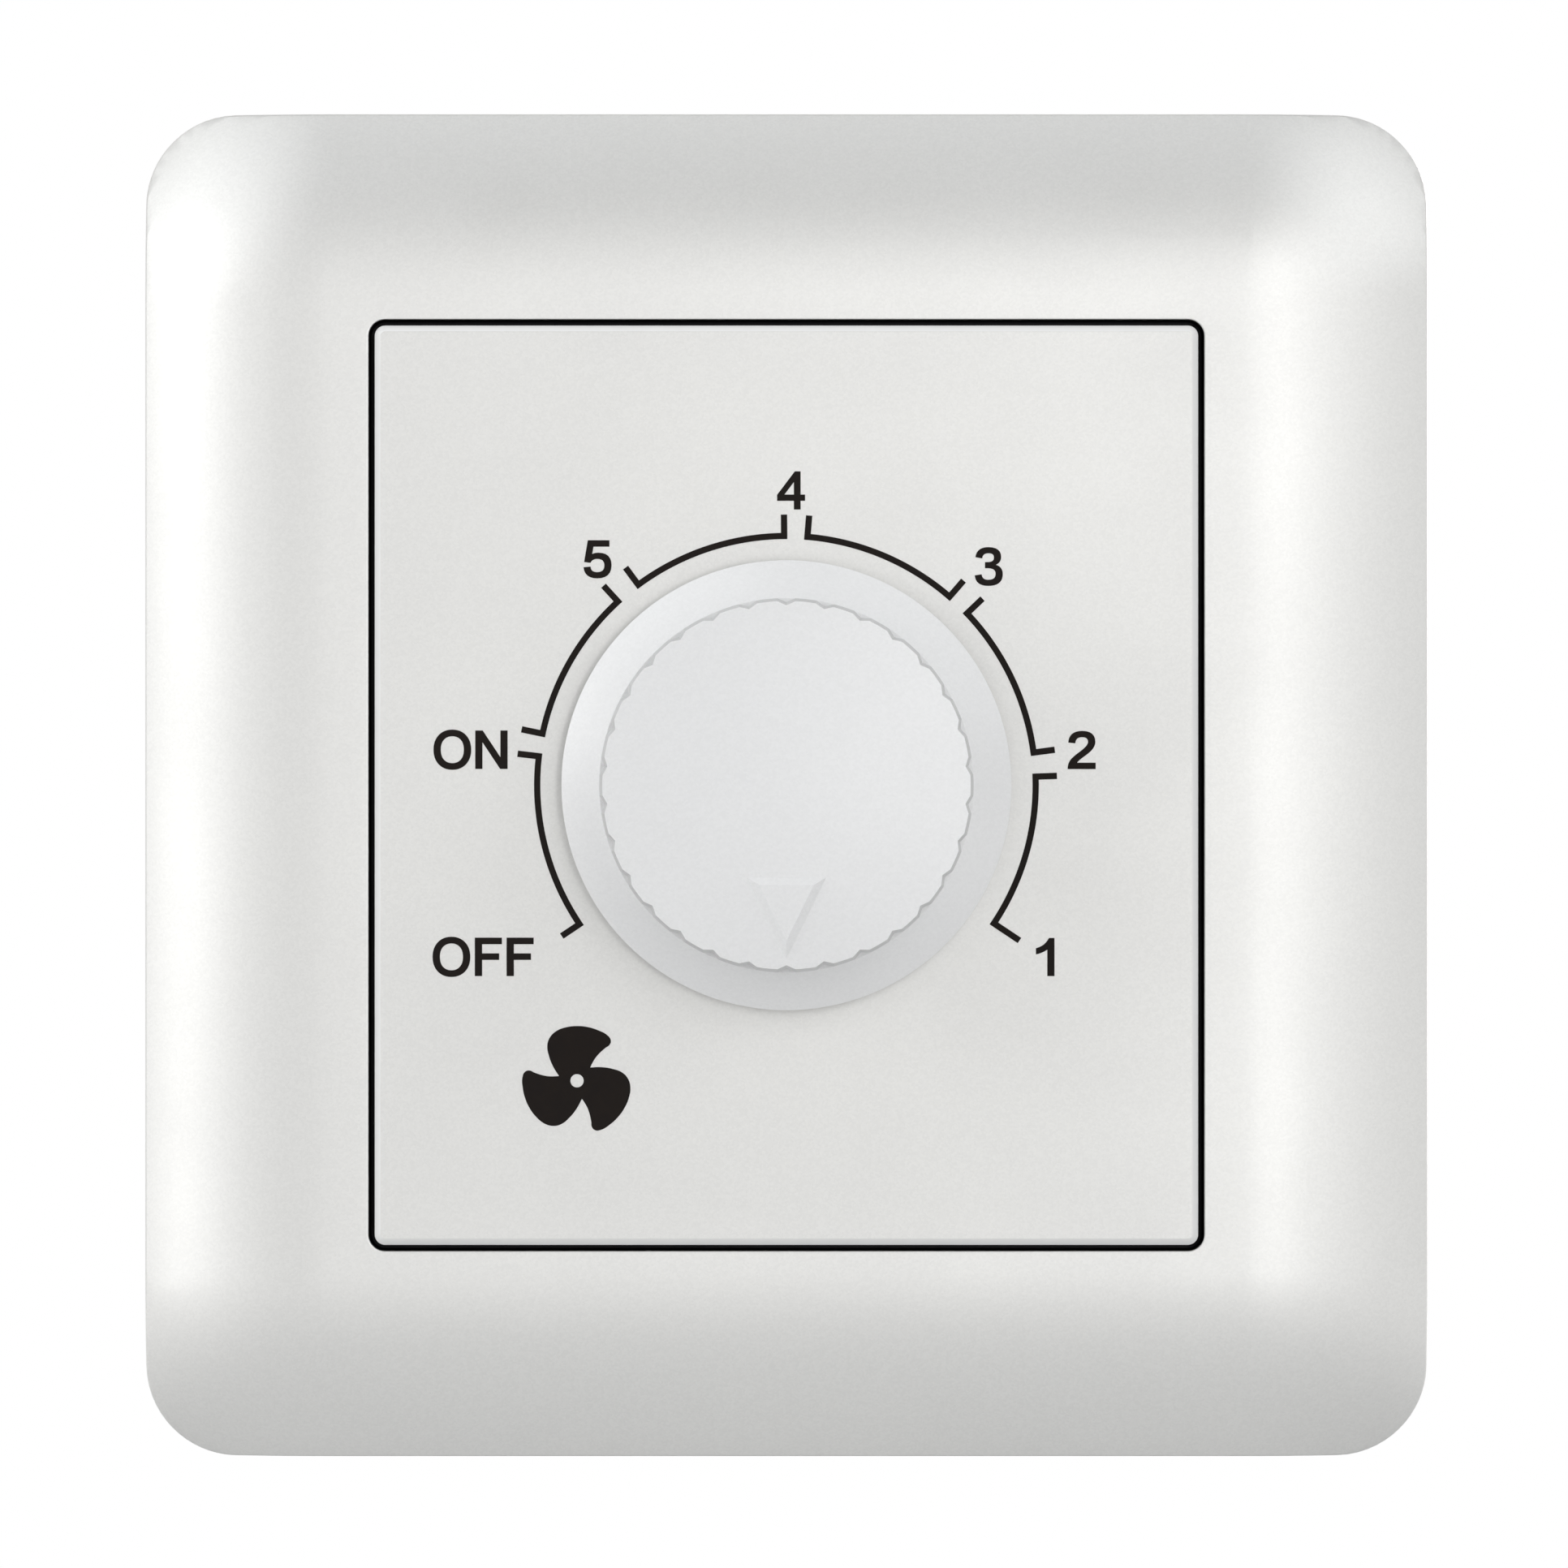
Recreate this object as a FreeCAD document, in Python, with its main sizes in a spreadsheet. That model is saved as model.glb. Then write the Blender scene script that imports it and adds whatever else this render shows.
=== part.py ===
"""Fan speed control switch for a wall box: cover frame, dial panel, fluted knob and control module.

Millimetres, +Z up. The wall is the plane y = 0 and the switch faces -Y, so a level in front of
the wall is positive and lies at -y, and a level inside the wall box is negative. The origin is
the middle of the two fixing slots, which is also the axis of the knob.
"""
import FreeCAD, Part
import math
import os
import re

import Sketcher

ORIGIN = FreeCAD.Vector(0, 0, 0)
ACROSS = FreeCAD.Vector(1, 0, 0)
INWARD = FreeCAD.Vector(0, 1, 0)
NORMAL = FreeCAD.Vector(0, 0, 1)

# Each size of the switch that can be set by itself
SIZES = {
    # Cover frame
    "plate_width": 86.0,
    "plate_height": 90.0,
    "plate_corner": 6.0,
    "rim_height": 5.0,
    "crown_rise": 4.2,
    "crown_run": 12.5,
    "frame_wall": 2.0,
    "lip_wall": 1.2,
    "ledge_wall": 1.0,
    "ledge_reach": 1.0,
    "frame_leg_width": 9.0,
    "frame_leg_wall": 1.4,
    "frame_leg_spacing": 40.0,
    "frame_leg_root": 1.0,
    "barb_depth": 0.7,
    "barb_height": 1.2,
    "barb_clearance": 0.1,
    "pry_notch_width": 12.0,
    "pry_notch_height": 1.5,
    # Front panel
    "panel_width": 55.0,
    "panel_height": 61.4,
    "panel_corner": 0.7,
    "panel_gap": 0.4,
    "panel_proud": 0.2,
    "panel_wall": 1.8,
    "panel_skirt": 1.5,
    "panel_bevel": 0.4,
    "panel_hole_radius": 5.0,
    "panel_leg_width": 6.0,
    "panel_leg_wall": 1.3,
    "panel_leg_spacing": 36.0,
    # Base chassis
    "bulkhead_level": 4.4,
    "bulkhead_wall": 2.0,
    "chassis_inset": 6.0,
    "chassis_corner": 6.0,
    "chassis_wall": 1.6,
    "moulding_clearance": 0.2,
    "screw_spacing": 60.3,
    "slot_width": 4.2,
    "slot_length": 6.6,
    "slot_seat": 1.6,
    "slot_head_room": 1.6,
    "slot_pad_rim": 0.8,
    "latch_width": 6.0,
    "latch_wall": 1.4,
    "latch_reach": 7.0,
    "latch_spacing": 28.0,
    "post_width": 3.0,
    "post_inset": 2.6,
    # Rear housing
    "housing_width": 48.0,
    "housing_height": 50.0,
    "housing_depth": 25.0,
    "housing_wall": 1.8,
    "housing_corner": 2.5,
    "rib_length": 16.0,
    "rib_wall": 1.8,
    "vent_width": 1.6,
    "vent_length": 16.0,
    "vent_pitch": 4.0,
    "vent_count": 8,
    "vent_up": 8.0,
    # Potentiometer with its snap switch
    "shaft_radius": 3.0,
    "shaft_flat": 1.5,
    "shaft_flat_length": 8.4,
    "shaft_reach": 9.0,
    "shaft_chamfer": 0.4,
    "shaft_depth": 4.5,
    "running_clearance": 0.05,
    "bush_radius": 3.5,
    "bush_end": 0.5,
    "flange_wall": 1.5,
    "lug_offset": 6.0,
    "lug_width": 2.4,
    "lug_wall": 1.2,
    "lug_length": 1.5,
    "washer_width": 11.0,
    "washer_wall": 0.5,
    "nut_across_flats": 10.0,
    "nut_wall": 2.0,
    "pot_width": 16.5,
    "pot_height": 17.5,
    "pot_depth": 11.5,
    "pot_edge": 0.8,
    "rotor_across_flats": 9.5,
    "rotor_wall": 2.2,
    "rotor_lift": 0.6,
    "rotor_clearance": 0.3,
    "pot_pin_pitch": 5.0,
    "pot_pin_width": 1.0,
    "pot_pin_wall": 0.5,
    "pot_pin_inset": 1.4,
    # Knob
    "knob_gap": 0.6,
    "knob_height": 12.4,
    "skirt_radius": 15.0,
    "skirt_edge": 1.0,
    "skirt_rise": 1.7,
    "grip_radius": 12.15,
    "grip_draft": 0.3,
    "flute_count": 30,
    "flute_width": 1.25,
    "flute_depth": 0.28,
    "knob_wall": 1.5,
    "knob_roof": 1.6,
    "hub_radius": 5.0,
    "hub_start": 1.2,
    "hub_ribs": 4,
    "hub_rib_wall": 1.2,
    "hub_rib_start": 4.0,
    "pointer_offset": 6.07,
    "pointer_width": 5.2,
    "pointer_length": 5.33,
    "pointer_bevel": 0.5,
    "pointer_rise": 0.35,
    "spring_wall": 0.5,
    "spring_width": 4.0,
    "spring_length": 7.0,
    # Circuit board and what it carries
    "board_wall": 1.6,
    "board_clearance": 0.4,
    "board_standoff": 0.6,
    "sink_height": 20.5,
    "sink_up": 4.0,
    "sink_wall": 1.3,
    "sink_fin": 9.0,
    "sink_edge_gap": 0.6,
    "clip_width": 4.0,
    "clip_wall": 0.5,
    "clip_end_gap": 2.3,
    "triac_pot_gap": 1.8,
    "triac_height": 9.0,
    "triac_wall": 4.4,
    "triac_tab_height": 6.4,
    "triac_tab_wall": 1.3,
    "triac_edge_gap": 0.6,
    "triac_hole_radius": 1.8,
    "triac_hole_inset": 2.8,
    "triac_lead_width": 0.8,
    "triac_lead_pitch": 2.54,
    "triac_lead_gap": 0.4,
    "triac_lead_level": 2.4,
    "choke_inset": 10.4,
    "core_radius": 2.0,
    "core_length": 14.0,
    "winding_wall": 1.2,
    "winding_length": 10.5,
    "suppressor_up": -6.2,
    "suppressor_width": 5.0,
    "suppressor_height": 12.5,
    "suppressor_depth": 9.5,
    "timer_x": -4.8,
    "timer_inset": 7.4,
    "timer_width": 7.2,
    "timer_height": 3.4,
    "timer_depth": 7.5,
    "fuse_x": 7.5,
    "fuse_inset": 6.8,
    "fuse_width": 9.0,
    "fuse_height": 4.0,
    "fuse_depth": 7.0,
    "box_foot": 0.8,
    "lead_width": 0.6,
    "lead_inset": 1.2,
    "resistor_x": -9.0,
    "resistor_inset": 7.8,
    "resistor_pitch": 4.0,
    "resistor_width": 3.2,
    "resistor_height": 1.6,
    "resistor_depth": 0.6,
    "diac_x": 3.6,
    "diac_inset": 6.4,
    "diac_width": 4.4,
    "diac_height": 2.6,
    "diac_depth": 2.2,
    # Terminals
    "block_width": 22.0,
    "block_height": 12.0,
    "clamp_pitch": 10.0,
    "clamp_width": 6.4,
    "clamp_height": 8.6,
    "clamp_depth": 8.0,
    "clamp_sill": 1.6,
    "wire_radius": 1.9,
    "wire_entry": 4.8,
    "wire_depth": 3.1,
    "clamp_screw_radius": 1.7,
    "clamp_screw_length": 5.2,
    "clamp_screw_slot": 0.6,
    "clamp_screw_slot_depth": 1.0,
    "clamp_screw_way": 2.1,
    "clamp_fit": 0.1,
}

# Levels and widths that follow from the sizes
DERIVED = {
    "frame_level": "rim_height + crown_rise",
    "panel_level": "frame_level + panel_proud",
    "panel_back": "panel_level - panel_wall",
    "bulkhead_back": "bulkhead_level - bulkhead_wall",
    "ledge_level": "bulkhead_level + ledge_wall",
    "flange_back": "bulkhead_back - flange_wall",
    "bush_front": "bulkhead_level + washer_wall + nut_wall + bush_end",
    "pot_back": "flange_back - pot_depth",
    "board_front": "pot_back - board_standoff",
    "board_back": "board_front - board_wall",
    "housing_back": "0 - housing_depth",
    "opening_width": "panel_width + 2 * panel_gap",
    "opening_height": "panel_height + 2 * panel_gap",
    "opening_corner": "panel_corner + panel_gap",
    "chassis_width": "plate_width - 2 * chassis_inset",
    "chassis_height": "plate_height - 2 * chassis_inset",
    "crown_radius": "(crown_run * crown_run + crown_rise * crown_rise) / (2 * crown_rise)",
    "crown_reach": "sqrt(2) * (crown_run - plate_corner) + plate_corner + frame_wall / 2",
    "crown_x": "plate_width / 2 - crown_run",
    "crown_up": "plate_height / 2 - crown_run",
    "frame_leg_x": "chassis_width / 2 + moulding_clearance + frame_leg_wall / 2",
    "barb_level": "bulkhead_back - barb_height - barb_clearance",
    "panel_leg_up": "panel_height / 2 - panel_skirt - panel_leg_wall / 2",
    "recess_length": "slot_length + 2 * slot_head_room",
    "recess_width": "slot_width + 2 * slot_head_room",
    "housing_inside_width": "housing_width - 2 * housing_wall",
    "housing_inside_height": "housing_height - 2 * housing_wall",
    "latch_end": "bulkhead_back - latch_reach",
    "latch_x": "housing_width / 2 + moulding_clearance + latch_wall / 2",
    "board_width": "housing_inside_width - 2 * board_clearance",
    "board_height": "housing_inside_height - 2 * board_clearance",
    "post_up": "board_height / 2 - post_inset",
    "shaft_bore": "shaft_radius + running_clearance",
    "shaft_front": "panel_level + shaft_reach",
    "shaft_back": "flange_back - shaft_depth",
    "rotor_radius": "rotor_across_flats / sqrt(3)",
    "knob_base": "panel_level + knob_gap",
    "grip_base": "skirt_edge + skirt_rise",
    "cavity_radius": "grip_radius - knob_wall",
    "pointer_side": "sqrt(pointer_width * pointer_width / 4 + pointer_length * pointer_length)",
    "pointer_inradius": "pointer_width * pointer_length / (pointer_width + 2 * pointer_side)",
    "pointer_shrink": "1 - pointer_bevel / pointer_inradius",
    "bore_flat": "shaft_flat + spring_wall + 2 * running_clearance",
    "sink_left": "sink_edge_gap - board_width / 2",
    "sink_width": "sink_wall + 2 * running_clearance + triac_width",
    "sink_front": "board_front + sink_wall",
    "sink_top": "sink_up + sink_height / 2",
    "triac_left": "sink_left + sink_wall + running_clearance",
    "triac_width": "0 - pot_width / 2 - triac_pot_gap - triac_left",
    "triac_x": "triac_left + triac_width / 2",
    "triac_tab_top": "sink_top - triac_edge_gap",
    "triac_top": "triac_tab_top - triac_tab_height",
    "triac_bottom": "triac_top - triac_height",
    "triac_hole_up": "triac_tab_top - triac_hole_inset",
    "triac_lead_reach": "triac_bottom - (sink_up - sink_height / 2) + triac_lead_gap + triac_lead_width",
    "triac_front": "sink_front + triac_wall",
    "clip_reach": "running_clearance + triac_width - clip_end_gap",
    "choke_x": "(pot_width + board_width) / 4",
    "suppressor_x": "(pot_width + board_width) / 4",
    "choke_up": "board_height / 2 - choke_inset",
    "timer_up": "board_height / 2 - timer_inset",
    "diac_up": "board_height / 2 - diac_inset",
    "fuse_up": "fuse_inset - board_height / 2",
    "resistor_up": "resistor_inset - board_height / 2",
    "block_up": "block_height / 2 - housing_height / 2",
    "clamp_up": "clamp_sill + clamp_height / 2 - housing_height / 2",
    "clamp_back": "board_back - clamp_depth",
    "wire_level": "board_back - wire_depth",
}

QUARTER_TURN = 90
HALF_TURN = 180
LEVEL_MATCH = 1e-4
NO_CHANGE = 1e-6
AT_AXIS = 1e-9
NODES = {}


def in_cells(expression):
    """The expression with each derived name spelled out and each size replaced by its cell."""

    def swap(match):
        word = match.group(0)
        if word in DERIVED:
            return "(" + in_cells(DERIVED[word]) + ")"
        if word in SIZES:
            return "Sizes." + word
        return word

    return re.sub(r"[A-Za-z_]\w*", swap, expression)


def worth(expression):
    """The number that an expression comes to."""
    return float(sheet.evalExpression(in_cells(expression)))


def bind(item, name, expression):
    """Ties a property of an object to the sheet."""
    item.setExpression(name, in_cells(expression))


def node(name, item):
    """Names a finished piece, so that it is written out."""
    item.Label = name
    NODES[name] = item
    return item


# Sketches

def new_body(name):
    return doc.addObject("PartDesign::Body", name + "_body")


def origin_feature(body, role):
    return [item for item in body.Origin.OriginFeatures if item.Role == role][0]


def new_sketch(body, name, role):
    sketch = body.newObject("Sketcher::SketchObject", name)
    sketch.AttachmentSupport = [(origin_feature(body, role), "")]
    sketch.MapMode = "FlatFace"
    return sketch


def front_sketch(body, name, level, x="0", up="0"):
    """A sketch that faces the front, with its own origin at x and up, on a level from the wall."""
    sketch = new_sketch(body, name, "XZ_Plane")
    bind(sketch, "AttachmentOffset.Base.x", x)
    bind(sketch, "AttachmentOffset.Base.y", up)
    bind(sketch, "AttachmentOffset.Base.z", level)
    return sketch


def axis_sketch(body, name, level):
    """A sketch through the knob's axis: its x is the radius and its y runs forward from a level."""
    sketch = new_sketch(body, name, "XY_Plane")
    sketch.AttachmentOffset = FreeCAD.Placement(ORIGIN, FreeCAD.Rotation(ACROSS, HALF_TURN))
    bind(sketch, "AttachmentOffset.Base.y", f"0 - ({level})")
    return sketch


def top_sketch(body, name, up, x, level):
    """A level sketch at a height, seen from above, with its origin at x and a level from the wall."""
    sketch = new_sketch(body, name, "XY_Plane")
    bind(sketch, "AttachmentOffset.Base.x", x)
    bind(sketch, "AttachmentOffset.Base.y", f"0 - ({level})")
    bind(sketch, "AttachmentOffset.Base.z", up)
    return sketch


def constrain(sketch, *parts):
    return sketch.addConstraint(Sketcher.Constraint(*parts))


def dimension(sketch, expression, *parts):
    """A driving dimension that follows the sheet."""
    index = constrain(sketch, *parts)
    name = f"size_{index}"
    sketch.renameConstraint(index, name)
    bind(sketch, "Constraints." + name, expression)


def hold_along(sketch, kind, axis, expression, shape, point):
    """Holds one coordinate of a point from the sketch's origin, on either side of it."""
    value = worth(expression)
    if abs(value) < AT_AXIS:
        constrain(sketch, "PointOnObject", shape, point, axis)
    elif value > 0:
        dimension(sketch, expression, kind, -1, 1, shape, point, value)
    else:
        dimension(sketch, f"0 - ({expression})", kind, shape, point, -1, 1, -value)


def hold_point(sketch, shape, point, x, y):
    hold_along(sketch, "DistanceX", -2, x, shape, point)
    hold_along(sketch, "DistanceY", -1, y, shape, point)


def line(sketch, start, end):
    return sketch.addGeometry(Part.LineSegment(FreeCAD.Vector(*start, 0), FreeCAD.Vector(*end, 0)), False)


def arc(sketch, centre, radius, first, last):
    """An arc between two angles in degrees, anticlockwise."""
    circle_of_arc = Part.Circle(FreeCAD.Vector(*centre, 0), NORMAL, radius)
    piece = Part.ArcOfCircle(circle_of_arc, math.radians(first), math.radians(last))
    return sketch.addGeometry(piece, False)


def circle(sketch, radius, x="0", y="0"):
    centre = FreeCAD.Vector(worth(x), worth(y), 0)
    shape = sketch.addGeometry(Part.Circle(centre, NORMAL, worth(radius)), False)
    hold_point(sketch, shape, 3, x, y)
    dimension(sketch, radius, "Radius", shape, worth(radius))


def rectangle(sketch, width, height, x="0", y="0"):
    """An upright rectangle about a centre."""
    left, right = f"{x} - ({width}) / 2", f"{x} + ({width}) / 2"
    bottom, top = f"{y} - ({height}) / 2", f"{y} + ({height}) / 2"
    corners = [(left, bottom), (right, bottom), (right, top), (left, top)]
    places = [(worth(a), worth(b)) for a, b in corners]
    sides = [line(sketch, places[i], places[(i + 1) % 4]) for i in range(4)]
    for i in range(4):
        constrain(sketch, "Coincident", sides[i], 2, sides[(i + 1) % 4], 1)
        constrain(sketch, "Horizontal" if i % 2 == 0 else "Vertical", sides[i])
    hold_point(sketch, sides[0], 1, left, bottom)
    hold_point(sketch, sides[2], 1, right, top)


def rounded_rectangle(sketch, width, height, corner):
    """A rectangle about the sketch's origin with a quarter circle at each corner."""
    half_width, half_height, radius = worth(width) / 2, worth(height) / 2, worth(corner)
    reach_x, reach_y = half_width - radius, half_height - radius
    centres = [(reach_x, -reach_y), (reach_x, reach_y), (-reach_x, reach_y), (-reach_x, -reach_y)]
    bends = [arc(sketch, centres[i], radius, QUARTER_TURN * (i - 1), QUARTER_TURN * i) for i in range(4)]
    starts = [(-reach_x, -half_height), (half_width, -reach_y),
              (reach_x, half_height), (-half_width, reach_y)]
    ends = [(reach_x, -half_height), (half_width, reach_y),
            (-reach_x, half_height), (-half_width, -reach_y)]
    sides = [line(sketch, starts[i], ends[i]) for i in range(4)]
    for i in range(4):
        constrain(sketch, "Tangent", sides[i], 2, bends[i], 1)
        constrain(sketch, "Tangent", bends[i], 2, sides[(i + 1) % 4], 1)
        constrain(sketch, "Horizontal" if i % 2 == 0 else "Vertical", sides[i])
    for i in range(1, 4):
        constrain(sketch, "Equal", bends[0], bends[i])
    dimension(sketch, corner, "Radius", bends[0], radius)
    hold_along(sketch, "DistanceX", -2, f"({width}) / 2", sides[1], 1)
    hold_along(sketch, "DistanceX", -2, f"0 - ({width}) / 2", sides[3], 1)
    hold_along(sketch, "DistanceY", -1, f"({height}) / 2", sides[2], 1)
    hold_along(sketch, "DistanceY", -1, f"0 - ({height}) / 2", sides[0], 1)


def slot(sketch, length, width):
    """A round-ended slot along x about the sketch's origin."""
    radius = worth(width) / 2
    reach = worth(length) / 2 - radius
    right = arc(sketch, (reach, 0), radius, -QUARTER_TURN, QUARTER_TURN)
    left = arc(sketch, (-reach, 0), radius, QUARTER_TURN, 3 * QUARTER_TURN)
    upper = line(sketch, (reach, radius), (-reach, radius))
    lower = line(sketch, (-reach, -radius), (reach, -radius))
    for first, second in ((right, upper), (upper, left), (left, lower), (lower, right)):
        constrain(sketch, "Tangent", first, 2, second, 1)
    constrain(sketch, "Equal", right, left)
    dimension(sketch, f"({width}) / 2", "Radius", right, radius)
    hold_point(sketch, right, 3, f"({length} - ({width})) / 2", "0")
    hold_along(sketch, "DistanceX", -2, f"({width} - ({length})) / 2", left, 3)
    constrain(sketch, "Horizontal", upper)


def d_shape(sketch, radius, flat):
    """A circle about the sketch's origin with its upper part cut off along a flat."""
    round_radius, height = worth(radius), worth(flat)
    rise = math.degrees(math.asin(height / round_radius))
    half = math.sqrt(round_radius ** 2 - height ** 2)
    bend = arc(sketch, (0, 0), round_radius, HALF_TURN - rise, 2 * HALF_TURN + rise)
    chord = line(sketch, (half, height), (-half, height))
    constrain(sketch, "Coincident", bend, 3, -1, 1)
    constrain(sketch, "Coincident", bend, 2, chord, 1)
    constrain(sketch, "Coincident", chord, 2, bend, 1)
    constrain(sketch, "Horizontal", chord)
    dimension(sketch, radius, "Radius", bend, round_radius)
    hold_along(sketch, "DistanceY", -1, flat, chord, 1)


def arc_between(sketch, start, end, radius):
    """An arc that turns left on its way from start to end, at most a half turn."""
    run, rise = end[0] - start[0], end[1] - start[1]
    span = math.hypot(run, rise)
    lift = math.sqrt(max(radius ** 2 - span ** 2 / 4, 0))
    centre = ((start[0] + end[0]) / 2 - rise / span * lift, (start[1] + end[1]) / 2 + run / span * lift)
    first = math.degrees(math.atan2(start[1] - centre[1], start[0] - centre[0]))
    last = math.degrees(math.atan2(end[1] - centre[1], end[0] - centre[0]))
    return arc(sketch, centre, radius, first, last)


def outline(sketch, points, hollows=None):
    """A closed anticlockwise outline; hollows gives the radius of each side that curves inward."""
    hollows = hollows or {}
    places = [(worth(x), worth(y)) for x, y in points]
    count = len(points)
    sides = []
    for i in range(count):
        start, end = places[i], places[(i + 1) % count]
        if i in hollows:
            sides.append((arc_between(sketch, end, start, worth(hollows[i])), 2, 1))
        else:
            sides.append((line(sketch, start, end), 1, 2))
    for i in range(count):
        side, first, last = sides[i]
        following, next_first, _ = sides[(i + 1) % count]
        constrain(sketch, "Coincident", side, last, following, next_first)
        hold_point(sketch, side, first, *points[i])
    for i, radius in hollows.items():
        dimension(sketch, radius, "Radius", sides[i][0], worth(radius))


# Features of a body

def feature(body, kind, sketch, suffix):
    item = body.newObject("PartDesign::" + kind, sketch.Name + suffix)
    item.Profile = sketch
    return item


def pad(body, sketch, length, both_ways=False):
    item = feature(body, "Pad", sketch, "_pad")
    bind(item, "Length", length)
    item.Midplane = both_ways
    return item


def pocket(body, sketch, depth, forward=False):
    """A pocket that runs backward from its sketch, or forward on demand."""
    item = feature(body, "Pocket", sketch, "_pocket")
    bind(item, "Length", depth)
    item.Reversed = forward
    return item


def revolve(body, sketch):
    item = feature(body, "Revolution", sketch, "_turned")
    item.ReferenceAxis = (sketch, ["V_Axis"])
    item.Angle = 2 * HALF_TURN
    return item


def groove(body, sketch, angle):
    """A cut turned about the sketch's y axis."""
    item = feature(body, "Groove", sketch, "_groove")
    item.ReferenceAxis = (sketch, ["V_Axis"])
    item.Angle = angle
    item.Reversed = True
    return item


def loft(body, sketches, kind="AdditiveLoft"):
    item = feature(body, kind, sketches[0], "_loft")
    item.Sections = sketches[1:]
    item.Ruled = True
    return item


def around_axis(body, original, count):
    """Copies of a feature, evenly spaced round the knob's axis."""
    item = body.newObject("PartDesign::PolarPattern", original.Name + "_around")
    item.Originals = [original]
    item.Axis = (origin_feature(body, "Y_Axis"), [""])
    item.Angle = 2 * HALF_TURN
    bind(item, "Occurrences", count)
    body.Tip = item
    return item


def in_row(body, original, sketch, count, pitch):
    """Copies of a feature in a row along the sketch's x."""
    item = body.newObject("PartDesign::LinearPattern", original.Name + "_row")
    item.Originals = [original]
    item.Direction = (sketch, ["H_Axis"])
    bind(item, "Occurrences", count)
    bind(item, "Length", f"({count} - 1) * ({pitch})")
    body.Tip = item
    return item


# Simple solids

def place(item, x, level, up):
    bind(item, "Placement.Base.x", x)
    bind(item, "Placement.Base.y", f"0 - ({level})")
    bind(item, "Placement.Base.z", up)
    return item


def block(name, x, up, level, width, height, depth):
    """A box about x and up, from a level forward."""
    item = doc.addObject("Part::Box", name)
    bind(item, "Length", width)
    bind(item, "Width", depth)
    bind(item, "Height", height)
    return place(item, f"{x} - ({width}) / 2", f"{level} + {depth}", f"{up} - ({height}) / 2")


def rod(name, x, up, level, radius, length, direction="front"):
    """A round bar that starts at a point and runs to the front or upward."""
    item = doc.addObject("Part::Cylinder", name)
    bind(item, "Radius", radius)
    bind(item, "Height", length)
    if direction == "front":
        item.Placement = FreeCAD.Placement(ORIGIN, FreeCAD.Rotation(ACROSS, QUARTER_TURN))
    return place(item, x, level, up)


def hexagon(name, x, up, level, across_flats, depth):
    item = doc.addObject("Part::Prism", name)
    item.Polygon = 6
    bind(item, "Circumradius", f"({across_flats}) / sqrt(3)")
    bind(item, "Height", depth)
    item.Placement = FreeCAD.Placement(ORIGIN, FreeCAD.Rotation(ACROSS, QUARTER_TURN))
    return place(item, x, level, up)


def cut(name, base, tool):
    item = doc.addObject("Part::Cut", name)
    item.Base = base
    item.Tool = tool
    return item


def fuse(name, shapes):
    item = doc.addObject("Part::MultiFuse", name)
    item.Shapes = shapes
    return item


def group(name, shapes):
    item = doc.addObject("Part::Compound", name)
    item.Links = shapes
    return item


# Cover frame

def make_pillow(body, name, inset, crowned):
    """A rounded block, set in from the plate's outside, that falls away to its rim: crowned or in a slope."""
    blank = front_sketch(body, name + "_blank", "0")
    rounded_rectangle(blank, f"plate_width - 2 * {inset}", f"plate_height - 2 * {inset}",
                      f"plate_corner - {inset}")
    pad(body, blank, f"frame_level - {inset}")
    radius = f"(crown_radius - {inset})"
    reach = f"(crown_reach - {inset})"
    if crowned:
        drop = f"{radius} - sqrt({radius} * {radius} - {reach} * {reach})"
    else:
        drop = f"{reach} * ({radius} - sqrt({radius} * {radius} - crown_run * crown_run)) / crown_run"
    corners = [("right", "crown_x", "crown_up"), ("top", "0 - crown_x", "crown_up"),
               ("left", "0 - crown_x", "0 - crown_up"), ("bottom", "crown_x", "0 - crown_up")]
    for index, (side, x, up) in enumerate(corners):
        waste = top_sketch(body, f"{name}_crown_{side}", up, x, f"frame_level - {inset}")
        turned = FreeCAD.Rotation(INWARD, -QUARTER_TURN * index)
        waste.AttachmentOffset = FreeCAD.Placement(waste.AttachmentOffset.Base, turned)
        outline(waste, [("0", "0"), ("0", "0 - frame_wall"), (reach, "0 - frame_wall"), (reach, drop)],
                {3: radius} if crowned else {})
        pocket(body, waste, "2 * crown_up" if index % 2 == 0 else "2 * crown_x")
        groove(body, waste, QUARTER_TURN)


def frame_legs(body):
    """Two snap legs on each long side, with a barb that hooks behind the edge of the chassis."""
    for side in (-1, 1):
        for half in (-1, 1):
            tag = f"{'left' if side < 0 else 'right'}_{'lower' if half < 0 else 'upper'}"
            up = f"{half} * frame_leg_spacing / 2"
            leg = front_sketch(body, "leg_" + tag, "barb_level", f"{side} * frame_leg_x", up)
            rectangle(leg, "frame_leg_wall", "frame_leg_width")
            pad(body, leg, "rim_height + frame_leg_root - barb_level")
            barb_x = f"{side} * (frame_leg_x - frame_leg_wall / 2 - barb_depth / 2)"
            barb = front_sketch(body, "barb_" + tag, "barb_level", barb_x, up)
            rectangle(barb, "barb_depth", "frame_leg_width")
            pad(body, barb, "barb_height")


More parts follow.
